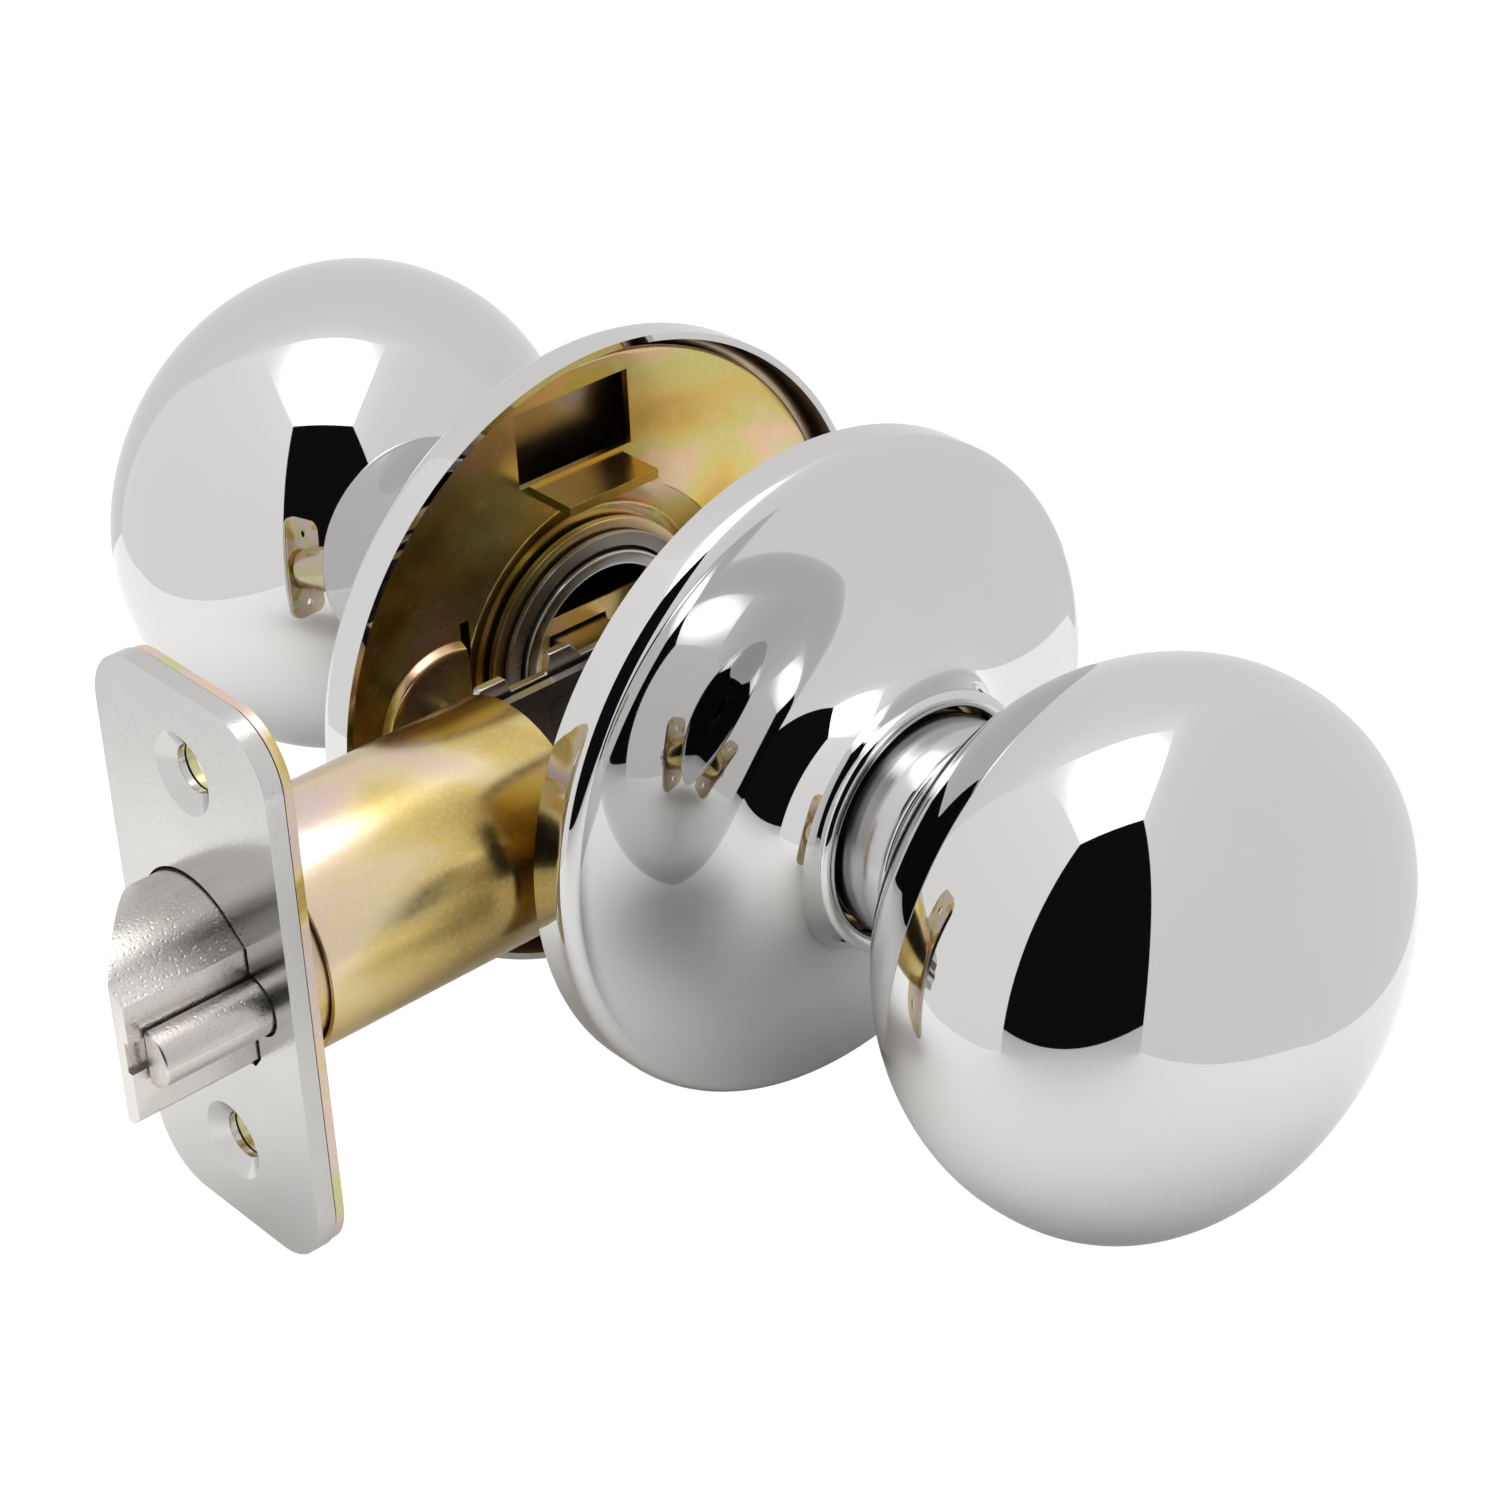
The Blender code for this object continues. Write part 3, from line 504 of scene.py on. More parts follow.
def carve(piece, steps, bevel=0.0, segments=3):
    """Applies (operation, helper) Booleans in turn, removes the helpers, and softens the edges."""
    for operation, helper in steps:
        modifier = piece.modifiers.new(helper.name, "BOOLEAN")
        modifier.operation = operation
        modifier.object = helper
        modifier.solver = "EXACT"
    bpy.context.view_layer.update()
    seen = piece.evaluated_get(bpy.context.evaluated_depsgraph_get())
    mesh = bpy.data.meshes.new_from_object(seen)
    piece.modifiers.clear()
    materials = list(piece.data.materials)
    piece.data = mesh
    mesh.materials.clear()
    for material in materials:
        mesh.materials.append(material)
    for _, helper in steps:
        bpy.data.objects.remove(helper, do_unlink=True)
    work = bmesh.new()
    work.from_mesh(mesh)
    bmesh.ops.remove_doubles(work, verts=work.verts, dist=2e-6)
    bmesh.ops.dissolve_limit(work, angle_limit=math.radians(1), verts=work.verts, edges=work.edges)
    work.to_mesh(mesh)
    work.free()
    if bevel:
        soften(piece, bevel, segments)
    mesh.shade_smooth()
    mesh.set_sharp_from_angle(angle=SHARP)
    return piece


def refined(node, material, bevel=0.15 * MM):
    """A copy of a small CAD piece with joined flats and softened edges."""
    made = link(node + "_finished", NODES[node].data.copy())
    made.data.materials.clear()
    made.data.materials.append(material)
    return carve(made, [], bevel, 2)


def coil(name, centre, radius, wire, turns, low, high, place, legs=0.0):
    """A wire spring, as a mesh. Its legs reach outwards from the two ends."""
    points = []
    for i in range(int(turns * COIL_STEPS) + 1):
        part = i / (turns * COIL_STEPS)
        angle = math.tau * turns * part
        height = low + wire + (high - low - 2 * wire) * part
        points.append((centre[0] + radius * math.cos(angle), centre[1] + radius * math.sin(angle), height))
    if legs:
        for end, last in ((0, points[0]), (len(points) + 1, points[-1])):
            reach = 1 + legs / radius
            points.insert(end, (last[0] * reach, last[1] * reach, last[2]))
    curve = bpy.data.curves.new(name, "CURVE")
    curve.dimensions = "3D"
    curve.bevel_depth = wire
    curve.bevel_resolution = 5
    curve.use_fill_caps = True
    spline = curve.splines.new("POLY")
    spline.points.add(len(points) - 1)
    for point, spot in zip(spline.points, points, strict=True):
        point.co = (*(place @ Vector(spot)), 1)
    drawn = link(name + "_path", curve)
    seen = drawn.evaluated_get(bpy.context.evaluated_depsgraph_get())
    mesh = bpy.data.meshes.new_from_object(seen)
    bpy.data.objects.remove(drawn)
    made = link(name, settle(mesh))
    mesh.materials.clear()
    mesh.materials.append(WIRE)
    return made


# ---------------------------------------------------------------- each side of the door

ROSE_RADIUS = 33.45 * MM
ROSE_WALL = 0.7 * MM
ROSE_LIP = 2.9 * MM
ROSE_CORNER = 1.8 * MM
ROSE_RISE = 2.1 * MM
ROSE_DOME = 0.36
FLARE_REACH = 9.6 * MM
FLARE_SLOPE = 0.15
COLLAR_TOP = 16.7 * MM
COLLAR_BORE = 11.62 * MM
COLLAR_ROLL = 1.4 * MM
KNOB_RADIUS = 26.7 * MM
KNOB_WALL = 1.0 * MM
KNOB_WIDEST = 44.5 * MM
KNOB_FRONT_DEPTH = 18.4 * MM
KNOB_FRONT_POWER = 2.35
KNOB_BACK_DEPTH = 23.3 * MM
KNOB_BACK_POWER = 1.9
KNOB_NECK = 12.3 * MM
SHANK_RADIUS = 10.5 * MM
SHANK_BORE = 9.0 * MM
SHANK_BULGE = 11.05 * MM
SHANK_START = 1.3 * MM
SHANK_END = 27.0 * MM
RING_RADIUS = 12.3 * MM
BUSHING_BORE = 10.8 * MM
BUSHING_RADIUS = 12.2 * MM
BUSHING_TOP = 13.0 * MM
FLANGE_RADIUS = 13.4 * MM
PLATE_RADIUS = 31.3 * MM
PLATE_FACE = 2.5 * MM
PLATE_THICK = 0.8 * MM
DISH_DEPTH = 1.7 * MM
DISH_RIM = 17.2 * MM
DISH_RADIUS = 14.6 * MM
SCREW_OFFSET = 19.5 * MM
SCREW_RADIUS = 1.6 * MM
BOSS_RADIUS = 8.0 * MM
BOSS_TOP = 1.4 * MM
NOTCH_NEAR = 16.0 * MM
NOTCH_FAR = 17.1 * MM
SPINDLE_RADIUS = 3.4 * MM
SPINDLE_FLAT = 0.6 * MM
SLIP = 0.3 * MM


def walled(line, wall):
    """A closed profile: the line, and the same line offset to its right by the wall."""
    inner = []
    for i, here in enumerate(line):
        before, after = line[max(i - 1, 0)], line[min(i + 1, len(line) - 1)]
        along = (Vector(after) - Vector(before)).normalized()
        inner.append((max(here[0] + along.y * wall, 0.0), here[1] - along.x * wall))
    return line + inner[::-1]


def rose(side, place):
    """A pressed cover: a lip, a rounded corner, a domed face, and a flare into a rolled collar."""
    corner = (ROSE_RADIUS - ROSE_CORNER, ROSE_LIP)
    face = ROSE_LIP + ROSE_CORNER
    line = [(ROSE_RADIUS, 0), (ROSE_RADIUS, ROSE_LIP * 0.5)] + arc(corner, ROSE_CORNER, 0, 90, 12)
    collar_radius = COLLAR_BORE + 1.5 * MM
    start = Vector((collar_radius + FLARE_REACH, face + ROSE_RISE))
    face_steps, flare_steps = 12, 36
    for i in range(1, face_steps + 1):
        part = i / face_steps
        rise = part * (1 + ROSE_DOME - ROSE_DOME * part)
        line.append((corner[0] + (start.x - corner[0]) * part, face + (start.y - face) * rise))
    end = Vector((collar_radius, COLLAR_TOP - COLLAR_ROLL))
    bend = Vector((end.x, start.y + FLARE_SLOPE * (start.x - end.x)))
    for i in range(1, flare_steps + 1):
        part = i / flare_steps
        line.append(tuple(start * (1 - part) ** 2 + bend * 2 * part * (1 - part) + end * part**2))
    bead_radius = 0.85 * MM
    bead = (collar_radius - 0.75 * MM, COLLAR_TOP - bead_radius)
    line += arc(bead, bead_radius, 10, 170, 14)
    line.append((COLLAR_BORE, COLLAR_TOP - COLLAR_ROLL))
    made = lathe(side + "_rose_cover", walled(line, -ROSE_WALL), place, CHROME, ROSE_SEGMENTS)
    # The mesh's faces follow the profile: the outer line, the collar's edge, the inner line, the rim.
    # The inner faces get the brown tint, a painted reflection.
    made.data.materials.append(ROSE_INSIDE)
    for panel in made.data.polygons[len(line) * ROSE_SEGMENTS : -ROSE_SEGMENTS]:
        panel.material_index = 1
    return stand_for(made, "frame", "bright_chrome", side + "_rose")


def boss(side, place, sign):
    """A raised disc round a mounting screw, cut off towards the hub."""
    bottom = PLATE_FACE + 0.4 * MM
    profile = [
        (0, bottom),
        (BOSS_RADIUS, bottom),
        (BOSS_RADIUS, PLATE_FACE),
        (BOSS_RADIUS - 0.5 * MM, BOSS_TOP + 0.3 * MM),
        (BOSS_RADIUS - 1.4 * MM, BOSS_TOP),
        (0, BOSS_TOP),
    ]
    profile = rounded(profile, 0.5 * MM, closed=False)
    made = lathe(f"{side}_boss_{sign}", profile, place, None, 64, closed=False)
    moved(made, (sign * SCREW_OFFSET, 0, 0), place)
    inner = sorted((sign * 5 * MM, sign * 16.9 * MM))
    trim = box("trim", (inner[0], -12 * MM, -MM), (inner[1], 12 * MM, 8 * MM), place)
    return carve(made, [("DIFFERENCE", trim)])


def mounting_plate(side, place):
    """A zinc-plated plate with a dished hub, a lanced window and its tab, and two screw bosses."""
    dish = PLATE_FACE + DISH_DEPTH
    hub_hole = BUSHING_RADIUS + 0.3 * MM
    face = [(PLATE_RADIUS, PLATE_FACE), (DISH_RIM, PLATE_FACE), (DISH_RADIUS, dish), (hub_hole, dish)]
    back = [(radius, height + PLATE_THICK) for radius, height in reversed(face)]
    made = lathe(side + "_pressed_plate", rounded(face + back, 0.8 * MM, steps=6), place, PLATE_ZINC, 128)
    tab_low, tab_high = (-4.0 * MM, 19.5 * MM, -3.3 * MM), (7.1 * MM, 20.5 * MM, PLATE_FACE + 0.5 * MM)
    tab = box("tab", tab_low, tab_high, place)
    window = box("window", (-5.5 * MM, 20.8 * MM, 2.0 * MM), (8.6 * MM, 28.8 * MM, 5 * MM), place)
    steps = [("UNION", tab), ("UNION", boss(side, place, 1)), ("UNION", boss(side, place, -1))]
    steps.append(("DIFFERENCE", window))
    for word, sign in (("right", 1), ("left", -1)):
        near, far = sorted((sign * NOTCH_NEAR, sign * NOTCH_FAR))
        notch = box("notch_" + word, (near, 0.5 * MM, 0.5 * MM), (far, 9.5 * MM, 5 * MM), place)
        low, high, seat = -MM, 8 * MM, PLATE_FACE - 0.1 * MM
        bore, wide = SCREW_RADIUS + 0.6 * MM, 3.25 * MM
        profile = [(0, high), (wide, high), (wide, seat), (bore, seat), (bore, low), (0, low)]
        hole = lathe("hole_" + word, profile, place, None, 48, closed=False)
        moved(hole, (sign * SCREW_OFFSET, 0, 0), place)
        steps += [("DIFFERENCE", notch), ("DIFFERENCE", hole)]
    carve(made, steps, 0.14 * MM, 2)
    return stand_for(made, "frame", "dull_zinc", side + "_mounting_plate")


def bushing(side, place):
    """The flanged bush that the neck tube turns in."""
    bottom = PLATE_FACE + 0.4 * MM
    flange = bottom + 0.9 * MM
    profile = [
        (BUSHING_BORE, BUSHING_TOP),
        (BUSHING_RADIUS, BUSHING_TOP),
        (BUSHING_RADIUS, flange),
        (FLANGE_RADIUS, flange),
        (FLANGE_RADIUS, bottom),
        (BUSHING_BORE, bottom),
    ]
    made = lathe(side + "_hub_bush", rounded(profile, 0.25 * MM, steps=3), place, GOLD_ZINC)
    return stand_for(made, "frame", "yellow_zinc", side + "_hub_bushing")


def knob_curve(depth, power, sign, start, end, count):
    """Part of a superellipse, between 0 degrees on the axis and 90 at the knob's widest place."""
    points = []
    for i in range(count + 1):
        angle = math.radians(start + (end - start) * i / count)
        radius = KNOB_RADIUS * max(math.sin(angle), 0) ** (2 / power)
        reach = depth * max(math.cos(angle), 0) ** (2 / power)
        points.append((radius, KNOB_WIDEST + sign * reach))
    return points


def even(line, count):
    """The line again, with points at even steps along it."""
    lengths = [0.0]
    for a, b in zip(line, line[1:], strict=False):
        lengths.append(lengths[-1] + (Vector(b) - Vector(a)).length)
    points, k = [], 0
    for i in range(count + 1):
        goal = lengths[-1] * i / count
        while k < len(line) - 2 and lengths[k + 1] < goal:
            k += 1
        span = max(lengths[k + 1] - lengths[k], 1e-12)
        t = min((goal - lengths[k]) / span, 1.0)
        points.append(tuple(Vector(line[k]).lerp(Vector(line[k + 1]), t)))
    return points


def knob(side, place):
    """A deep-drawn ball, flatter in front and drawn in to its neck behind."""
    neck_angle = math.degrees(math.asin((KNOB_NECK / KNOB_RADIUS) ** (KNOB_BACK_POWER / 2)))
    front = knob_curve(KNOB_FRONT_DEPTH, KNOB_FRONT_POWER, 1, 0, 90, 1500)
    back = knob_curve(KNOB_BACK_DEPTH, KNOB_BACK_POWER, -1, 90, neck_angle, 600)
    line = even(front + back[1:], 150)
    inner = walled(line, KNOB_WALL)[len(line) :]
    inner[-1] = (0, line[0][1] - KNOB_WALL)
    line[0] = (0, line[0][1])
    made = lathe(side + "_knob_ball", line + inner, place, CHROME, KNOB_SEGMENTS, closed=False)
    return stand_for(made, "knobs", "bright_chrome", side + "_knob_shell")


def ferrule(side, place):
    """Two fine beads between the neck and the ball."""
    low, high, bore = 21.8 * MM, 23.9 * MM, SHANK_RADIUS + SLIP
    line = [(bore, high), (12.0 * MM, high)]
    for height, out in ((23.45, 11.9), (22.5, 11.5)):
        line += arc((out * MM, height * MM), 0.42 * MM, 80, -80, 8)
    line += [(11.5 * MM, low), (bore, low)]
    made = lathe(side + "_ferrule", line, place, CHROME)
    return stand_for(made, "knobs", "bright_chrome", side + "_neck_ring")


def neck(side, place):
    """The tube that carries the ball: plain in the bush, and swelled where it shows."""
    swell, swell_start, swell_length, steps = SHANK_BULGE - SHANK_RADIUS, 14.0, 7.5, 24
    outer = [(SHANK_RADIUS, SHANK_START), (SHANK_RADIUS, swell_start * MM)]
    for i in range(1, steps + 1):
        part = i / steps
        share = min(1.0, 1.25 * math.sin(math.pi * part) ** 0.8)
        outer.append((SHANK_RADIUS + swell * share, (swell_start + swell_length * part) * MM))
    outer += [(SHANK_RADIUS, SHANK_END), (SHANK_BORE, SHANK_END), (SHANK_BORE, SHANK_START)]
    profile = rounded(outer, 0.3 * MM)
    made = lathe(side + "_neck_tube", profile, place, NICKEL)
    return stand_for(made, "knobs", "satin_nickel", side + "_shank")


def small_inner_pieces(side, place):
    """The open retaining ring, the plate that the spindle drives, and the return spring."""
    low, high = 1.9 * MM, 2.5 * MM
    inner = SHANK_RADIUS + SLIP
    open_ring = arc((0, 0), RING_RADIUS, -60, 240, 90) + arc((0, 0), inner, 240, -60, 90)
    ring = carve(sheet(side + "_circlip", [open_ring], low, high, place, STEEL), [], 0.08 * MM, 2)
    stand_for(ring, "knobs", "plain_steel", side + "_retaining_ring")
    radius = SHANK_BORE - SLIP
    chord = math.degrees(math.asin(2.8 * MM / radius))
    outline = arc((0, 0), radius, 180 - chord, 360 + chord, 96)
    hole = half_round(SPINDLE_RADIUS + SLIP, SPINDLE_FLAT + SLIP)
    disc = sheet(side + "_drive_plate", [outline, hole], 6.0 * MM, 7.5 * MM, place, GOLD_ZINC)
    carve(disc, [], 0.12 * MM, 2)
    stand_for(disc, "knobs", "plain_steel", side + "_drive_disc")
    wound = {"radius": 13.8 * MM, "wire": 0.4 * MM, "turns": 1.25, "low": 5.4 * MM, "high": 7.6 * MM}
    spring = coil(side + "_torsion_spring", (0, 0), **wound, place=place, legs=1.2 * MM)
    stand_for(spring, "frame", "spring_steel", side + "_return_spring")


for side_name, side_place in SIDES.items():
    rose(side_name, side_place)
    mounting_plate(side_name, side_place)
    bushing(side_name, side_place)
    knob(side_name, side_place)
    ferrule(side_name, side_place)
    neck(side_name, side_place)
    small_inner_pieces(side_name, side_place)

# ---------------------------------------------------------------- latch

BACKSET = 60.3 * MM
FACE_HEIGHT = 57.15 * MM
FACE_WIDTH = 25.4 * MM
FACE_CORNER = 6.5 * MM
FACE_THICK = 1.9 * MM
BACK_THICK = 0.9 * MM
FACE_HOLE_Z = 19.8 * MM
FACE_HOLE = 2.3 * MM
FACE_SINK = 4.0 * MM
THROW = 12.7 * MM
BOLT_DOME = 8.3 * MM
BOLT_DOME_Y = 1.3 * MM
BOLT_DOME_Z = 0.2 * MM
BOLT_FLAT_Y = -6.4 * MM
BOLT_BOTTOM = -8.1 * MM
BOLT_REAR_X = -46.3 * MM
PLUNGER_RADIUS = 2.8 * MM
PLUNGER_Y = -7.0 * MM
PLUNGER_Z = -1.0 * MM
PLUNGER_TIP_X = -71.6 * MM
PLUNGER_REAR_X = -55.5 * MM
SPRING_SEAT_X = -25.8 * MM
RIVET_PLACE = (-50 * MM, 0.5 * MM)
REACH = 12 * MM  # past the bolt's sides, for cutters


def bolt_outline(grow=0.0):
    """Section of the bolt in (y, z): a dome, a flat face to -Y and a flat bottom."""
    points = arc((BOLT_DOME_Y, BOLT_DOME_Z), BOLT_DOME + grow, -90, 135, 72)
    points += [
        (BOLT_FLAT_Y - grow, 4.7 * MM),
        (BOLT_FLAT_Y - grow, BOLT_BOTTOM + 1.0 * MM),
        (BOLT_FLAT_Y - grow + 1.0 * MM, BOLT_BOTTOM - grow),
    ]
    return points


def plunger_outline(grow=0.0, flat=-6.7 * MM):
    """Section of the plunger in (y, z): a half circle that stands out from the bolt's flat face."""
    points = [(flat, PLUNGER_Z + PLUNGER_RADIUS + grow)]
    points += arc((PLUNGER_Y, PLUNGER_Z), PLUNGER_RADIUS + grow, 90, 270, 40)
    points.append((flat, PLUNGER_Z - PLUNGER_RADIUS - grow))
    return points


def face_cutters(name, front_x, depth, play, sunk):
    """What is cut from a latch plate: the bolt's opening, the plunger's notch and two screw holes."""
    near, far = front_x - MM, front_x + depth + MM
    notch = [plunger_outline(play, BOLT_FLAT_Y + 0.5 * MM)]
    made = [
        sheet(name + "_opening", [bolt_outline(play)], near, far, LATCH, None),
        sheet(name + "_notch", notch, near - 0.1 * MM, far + 0.1 * MM, LATCH, None),
    ]
    for word, sign in (("upper", 1), ("lower", -1)):
        profile = [(0, far), (FACE_HOLE, far)]
        if sunk:
            profile += [(FACE_HOLE, front_x + 1.2 * MM), (FACE_SINK, front_x - 0.02 * MM)]
            profile += [(FACE_SINK, near), (0, near)]
        else:
            profile += [(FACE_HOLE, near), (0, near)]
        hole = lathe(f"{name}_hole_{word}", profile, LATCH, None, 64, closed=False)
        made.append(moved(hole, (0, sign * FACE_HOLE_Z, 0), LATCH))
    return [("DIFFERENCE", helper) for helper in made]


def faceplates():
    """The plated face, and the plate riveted behind it."""
    front, gap = -BACKSET, 0.2 * MM
    outline = rounded_rectangle(FACE_WIDTH, FACE_HEIGHT, FACE_CORNER)
    made = sheet("latch_face", [outline], front, front + FACE_THICK, LATCH, FACE_CHROME)
    carve(made, face_cutters("face", front, FACE_THICK, 0.3 * MM, True), 0.42 * MM, 5)
    stand_for(made, "frame", "faceplate_chrome", "faceplate")
    back = front + FACE_THICK + gap
    outline = rounded_rectangle(FACE_WIDTH - 0.4 * MM, FACE_HEIGHT - 0.4 * MM, FACE_CORNER - 0.2 * MM)
    made = sheet("latch_back", [outline], back, back + BACK_THICK, LATCH, PALE_ZINC)
    carve(made, face_cutters("back", back, BACK_THICK, 0.5 * MM, False), 0.15 * MM, 2)
    stand_for(made, "frame", "yellow_zinc", "backplate")


def tube(name, node, bore, radius, low, high, material, slot):
    """A round tube of the latch, along x."""
    profile = rounded([(bore, high), (radius, high), (radius, low), (bore, low)], 0.12 * MM, steps=3)
    made = lathe(name, profile, LATCH, material)
    stand_for(made, "frame", slot, node)


def bolt():
    """The spring bolt with its slope, tail and rivet hole, and the plunger beside it."""
    tip, root = -BACKSET - THROW, -BACKSET - 0.5 * MM
    made = sheet("bolt_head", [bolt_outline()], tip, BOLT_REAR_X, LATCH, BOLT_CHROME)
    bevel = [
        (tip - MM, -4.5 * MM),
        (tip, -4.5 * MM),
        (root, 9.3 * MM),
        (root, REACH),
        (tip - MM, REACH),
    ]
    steps = [sheet("wedge", [bevel], -REACH, REACH, WORLD, None)]
    tail = BOLT_REAR_X + MM
    for word, low, high in (("left", -REACH, -4.4 * MM), ("right", 4.4 * MM, REACH)):
        steps.append(box("relief_" + word, (low, -REACH, -54.5 * MM), (high, REACH, tail), LATCH))
    steps.append(box("step", (-5 * MM, -REACH, -53.0 * MM), (5 * MM, -5.5 * MM, tail), LATCH))
    slot = ((BOLT_FLAT_Y - MM, -2.3 * MM, tip - MM), (BOLT_FLAT_Y + 0.6 * MM, 0.9 * MM, tip + 1.6 * MM))
    steps.append(box("tip_slot", *slot, LATCH))
    hole = [circle(RIVET_PLACE, 1.8 * MM)]
    steps.append(sheet("rivet_hole", hole, -8 * MM, 8 * MM, ACROSS, None))
    carve(made, [("DIFFERENCE", helper) for helper in steps], 0.22 * MM, 3)
    stand_for(made, "bolt", "bolt_chrome", "latch_bolt")
    pin = sheet("plunger_pin", [plunger_outline()], PLUNGER_TIP_X, PLUNGER_REAR_X, LATCH, BOLT_CHROME)
    carve(pin, [], 0.35 * MM, 3)
    stand_for(pin, "plunger", "bolt_chrome", "deadlatch_plunger")


faceplates()
tube("sleeve_tube", "backset_sleeve", 11.0 * MM, 11.5 * MM, -55.0 * MM, -25.0 * MM, TUBE_ZINC, "dull_zinc")
tube("latch_tube", "inner_tube", 10.2 * MM, 10.7 * MM, -56.9 * MM, -40.0 * MM, GOLD_ZINC, "yellow_zinc")
bolt()

for node, body, material, slot in (
    ("case_plate_front", "frame", DULL_ZINC, "dull_zinc"),
    ("case_plate_rear", "frame", DULL_ZINC, "dull_zinc"),
    ("drawbar", "bolt", STEEL, "plain_steel"),
    ("hub_cam", "knobs", STEEL, "plain_steel"),
    ("spindle", "knobs", GOLD_ZINC, "yellow_zinc"),
    ("spring_seat", "frame", STEEL, "plain_steel"),
):
    stand_for(refined(node, material), body, slot, node)

# The two latch springs hang on the bodies that hold their rear ends, each with a mesh of its own.
front_x = BOLT_REAR_X + 0.3 * MM
spring = coil("bolt_coil", (0, 0.5 * MM), 3.2 * MM, 0.4 * MM, 5, front_x, SPRING_SEAT_X, LATCH)
stand_for(spring, "frame", "spring_steel", "bolt_spring")
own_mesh(spring)

low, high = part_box("plunger_spring")
spring = coil("plunger_coil", (-8.0 * MM, PLUNGER_Z), 1.2 * MM, 0.22 * MM, 5, low[0], high[0], LATCH)
stand_for(spring, "bolt", "spring_steel", "plunger_spring")
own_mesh(spring)

# These CAD pieces keep their shape, and get a better material.
CARRIED = {
    "front_knob_core": STEEL,
    "rear_knob_core": STEEL,
    "case_rivet_upper": DULL_ZINC,
    "case_rivet_lower": DULL_ZINC,
    "bolt_rivet": STEEL,
    "mounting_screw_latch_side": STEEL,
    "mounting_screw_far_side": STEEL,
    "threaded_post_latch_side": STEEL,
    "threaded_post_far_side": STEEL,
}
for node, material in CARRIED.items():
    NODES[node].data.materials.clear()
    NODES[node].data.materials.append(material)

# ---------------------------------------------------------------- stage, light and camera

low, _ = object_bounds()
FLOOR_Z = low.z - 0.2 * MM
TENT_TOP_Z = 0.30
TENT_HEIGHT = 0.33
WARM_WHITE = (1.0, 0.988, 0.975)
DARK_ROOM = (0.006, 0.006, 0.007)
# The tent's corners on the floor, in metres. Near is the camera's side.
LEFT_NEAR, RIGHT_NEAR = (-0.160, -0.065), (-0.038, -0.175)
LEFT_FAR, RIGHT_FAR = (-0.060, 0.175), (0.145, 0.007)
# The bright oval of the tent's top: its centre, its long axis and its two half lengths.
OVAL_CENTRE, OVAL_AXIS = (-0.020, -0.026), Vector((0.556, 0.831))
OVAL_LONG, OVAL_SHORT, OVAL_FADE = 0.155, 0.104, 1.6
# The table's near edge lies this far from the origin, across the view.
TABLE_NEAR, TABLE_HALF_WIDTH, TABLE_DEPTH = 0.240, 0.9, 1.6
TABLE_AWAY = Vector((0.55, 0.835))


def height_share(n):
    """0 at the floor and about 1 at the tent's top."""
    split = n.tree.nodes.new("ShaderNodeSeparateXYZ")
    n.wire(n.place, split.inputs[0])
    return n.math("DIVIDE", n.math("SUBTRACT", split.outputs[2], FLOOR_Z), TENT_HEIGHT)


def oval_share(n):
    """0 at the bright oval's centre, growing evenly outwards."""
    split = n.tree.nodes.new("ShaderNodeSeparateXYZ")
    n.wire(n.place, split.inputs[0])
    squares = []
    sideways = Vector((-OVAL_AXIS.y, OVAL_AXIS.x))
    for axis, length in ((OVAL_AXIS, OVAL_LONG), (sideways, OVAL_SHORT)):
        parts = []
        for i in (0, 1):
            offset = n.math("SUBTRACT", split.outputs[i], OVAL_CENTRE[i])
            parts.append(n.math("MULTIPLY", offset, axis[i] / length))
        whole = n.math("ADD", *parts)
        squares.append(n.math("MULTIPLY", whole, whole))
    return n.math("DIVIDE", n.math("SQRT", n.math("ADD", *squares)), OVAL_FADE)


def glowing(name, stops, share=height_share):
    """A lit card's material, from (share, light) stops."""
    n = Nodes(name)
    most = max(value for _, value in stops)
    level = n.ramp(share(n), [(position, value / most) for position, value in stops])
    level.node.color_ramp.interpolation = "B_SPLINE"
    light = n.tree.nodes.new("ShaderNodeEmission")
    light.inputs["Strength"].default_value = most
    n.wire(n.mix(1.0, level, WARM_WHITE, "MULTIPLY"), light.inputs["Color"])
    n.wire(light.outputs[0], n.tree.nodes["Material Output"].inputs["Surface"])
    return n.material


def card(name, corners, material):
    """A flat stage card from its corners."""
    mesh = bpy.data.meshes.new(name)
    mesh.from_pydata(corners, [], [tuple(range(len(corners)))])
    mesh.materials.append(material)
    made = link(name, mesh)
    return made


def tent_card(name, corners, material):
    """A card that lights the pieces and shows in them. The camera and shadows pass through it."""
    made = card(name, corners, material)
    made.visible_camera = False
    made.visible_shadow = False


def standing(name, start, end, material):
    """An upright card of the tent, between two spots on the floor."""
    corners = [(*start, FLOOR_Z), (*end, FLOOR_Z), (*end, TENT_TOP_Z), (*start, TENT_TOP_Z)]
    tent_card(name, corners, material)


# The studio is a small tent: a lit top, three pale cards, and a dark opening on the camera's side.
top_stops = ((0.0, 5.2), (0.30, 3.4), (0.62, 1.45), (0.90, 1.12))
corners = [(*corner, TENT_TOP_Z) for corner in (LEFT_NEAR, RIGHT_NEAR, RIGHT_FAR, LEFT_FAR)]
tent_card("tent_top", corners, glowing("tent_top", top_stops, oval_share))
for name, start, end, stops in (
    ("right_card", RIGHT_NEAR, RIGHT_FAR, ((0.0, 0.88), (0.7, 0.94), (1.0, 1.12))),
    ("left_card", LEFT_NEAR, LEFT_FAR, ((0.0, 0.98), (0.6, 1.04), (1.0, 1.12))),
    ("tent_back", LEFT_FAR, RIGHT_FAR, ((0.0, 0.84), (0.6, 0.92), (1.0, 1.12))),
):
    standing(name, start, end, glowing(name, stops))


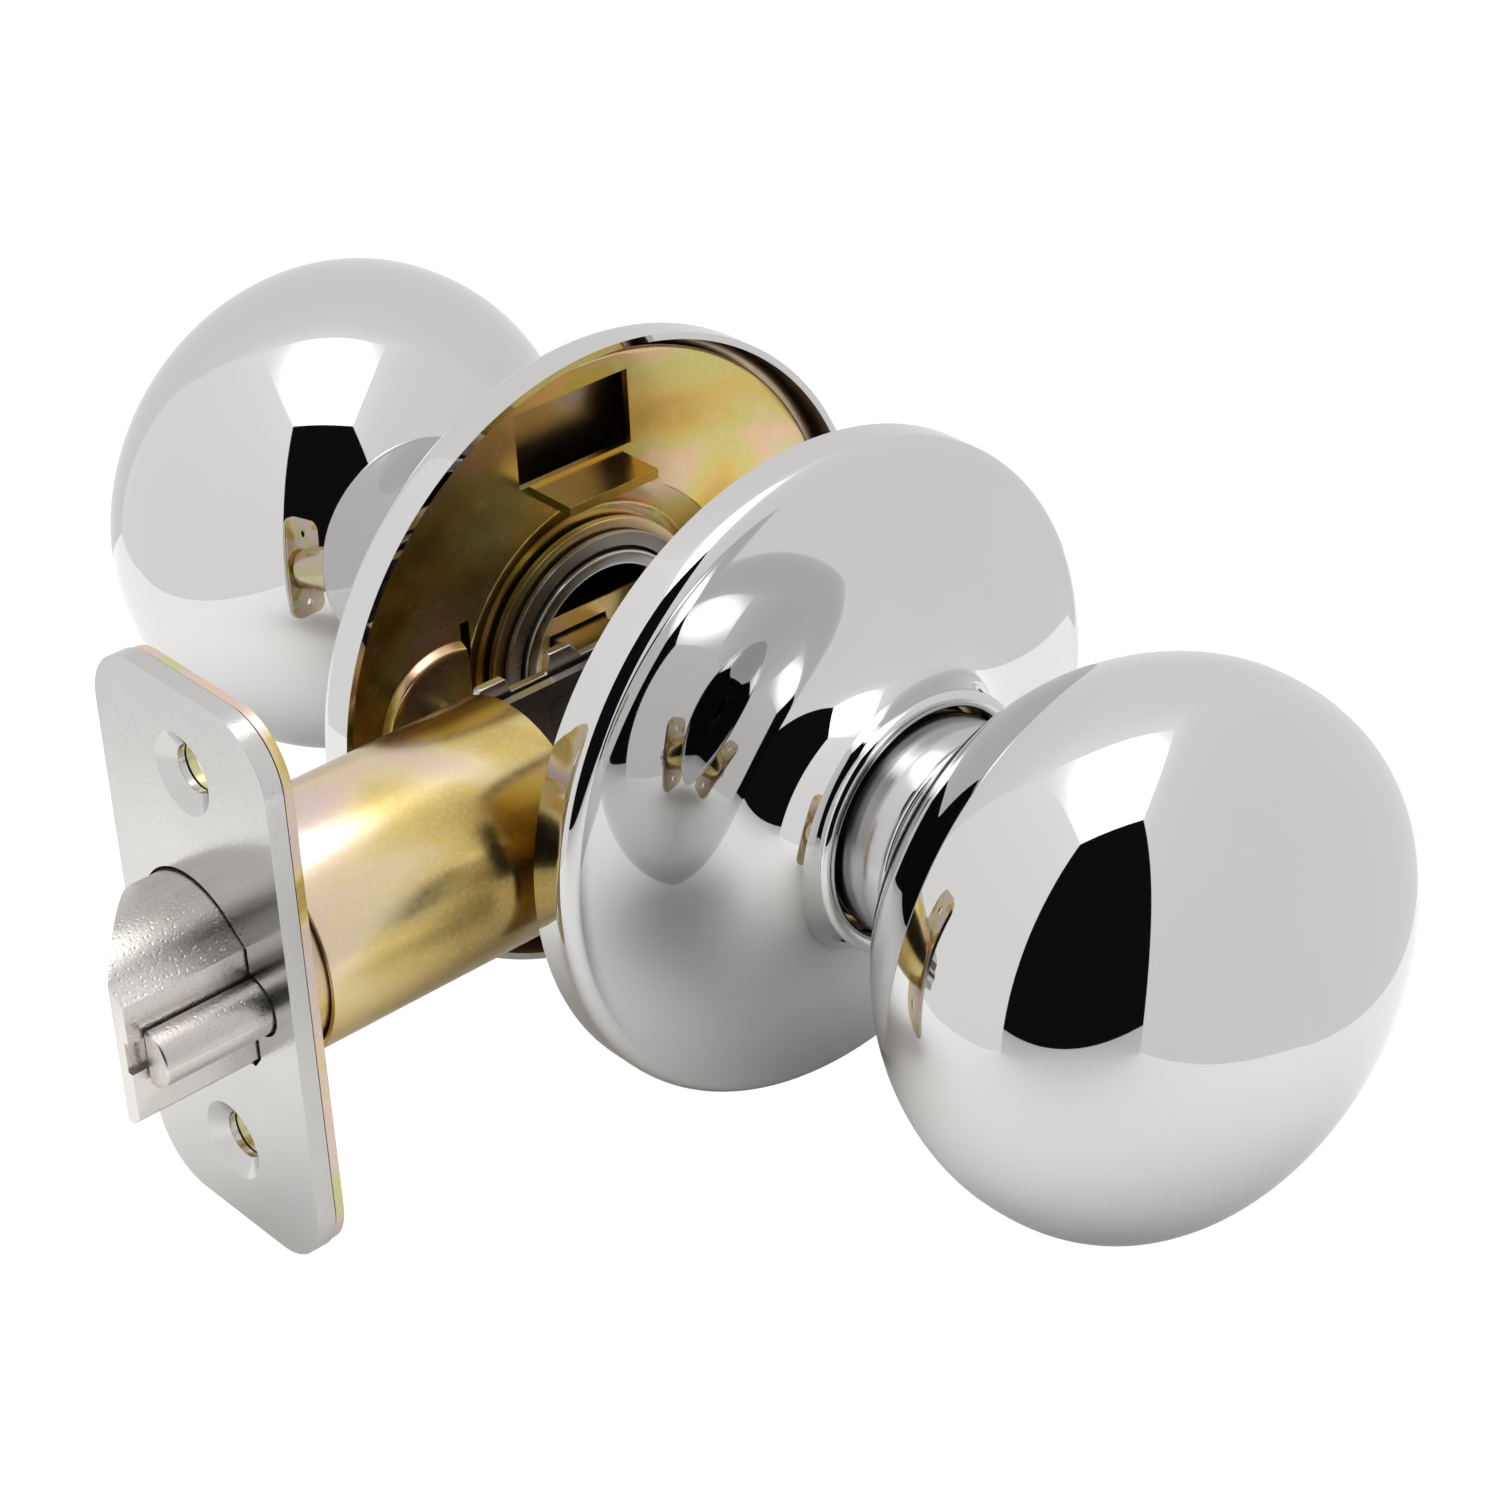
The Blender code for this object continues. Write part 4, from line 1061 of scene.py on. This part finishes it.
def table_material():
    """White paper. Seen directly it is mostly an even white, so its shadows are faint."""
    n = Nodes("table_white")
    paper = n.noise(n.scaled((25, 25, 25)), detail=2.0)
    n.finish(n.mix(paper, (0.84, 0.84, 0.835), (0.86, 0.86, 0.855)), 0.85, metal=0.0)
    path = n.tree.nodes.new("ShaderNodeLightPath")
    both = n.tree.nodes.new("ShaderNodeMixShader")
    plain = n.tree.nodes.new("ShaderNodeEmission")
    plain.inputs["Strength"].default_value = 1.2
    n.wire(n.math("MULTIPLY", path.outputs["Is Camera Ray"], 0.85), both.inputs[0])
    n.wire(n.shader.outputs[0], both.inputs[1])
    n.wire(plain.outputs[0], both.inputs[2])
    n.wire(both.outputs[0], n.tree.nodes["Material Output"].inputs["Surface"])
    return n.material


# A white table, whose near edge is short of the camera.
near = -TABLE_AWAY * TABLE_NEAR
wide = Vector((TABLE_AWAY.y, -TABLE_AWAY.x)) * TABLE_HALF_WIDTH
deep = TABLE_AWAY * TABLE_DEPTH
spots = (near - wide, near + wide, near + wide + deep, near - wide + deep)
card("table", [(*spot, FLOOR_Z) for spot in spots], table_material())

# The camera sees white beyond the table, and reflections see the dark room beyond the tent.
world = bpy.data.worlds.new("studio")
bpy.context.scene.world = world
world.use_nodes = True
world_nodes, world_links = world.node_tree.nodes, world.node_tree.links
shade = world_nodes.new("ShaderNodeMix")
shade.data_type = "RGBA"
shade.inputs[6].default_value = (*DARK_ROOM, 1)
shade.inputs[7].default_value = (1, 1, 1, 1)
world_links.new(world_nodes.new("ShaderNodeLightPath").outputs["Is Camera Ray"], shade.inputs[0])
world_links.new(shade.outputs[2], world_nodes["Background"].inputs[0])

# Lifts the table to white without showing in the plating.
lamp_data = bpy.data.lights.new("table_light", "AREA")
lamp_data.energy = 3.4
lamp_data.shape = "DISK"
lamp_data.size = 0.9
lamp = link("table_light", lamp_data)
lamp.location = (0.05, 0.05, 0.58)
lamp.visible_glossy = False

# The camera looks down 32 degrees from the latch's side of the front knob, leaning slightly.
AZIMUTH, ELEVATION, ROLL = math.radians(-40.62), math.radians(32.0), math.radians(-2.62)
CAMERA_PLACE = (-202.01 * MM, -240.15 * MM, 191.16 * MM)
camera = bpy.data.cameras.new("camera")
camera.sensor_width = 36
camera.lens = 90.57
camera.clip_start = 0.01
view = link("camera", camera)
level = math.cos(ELEVATION)
back = Vector((math.sin(AZIMUTH) * level, -math.cos(AZIMUTH) * level, math.sin(ELEVATION)))
turn = (-back).to_track_quat("-Z", "Y").to_matrix().to_4x4() @ Matrix.Rotation(ROLL, 4, "Z")
view.matrix_world = Matrix.Translation(CAMERA_PLACE) @ turn
bpy.context.scene.camera = view
bpy.context.scene.view_settings.view_transform = "Standard"
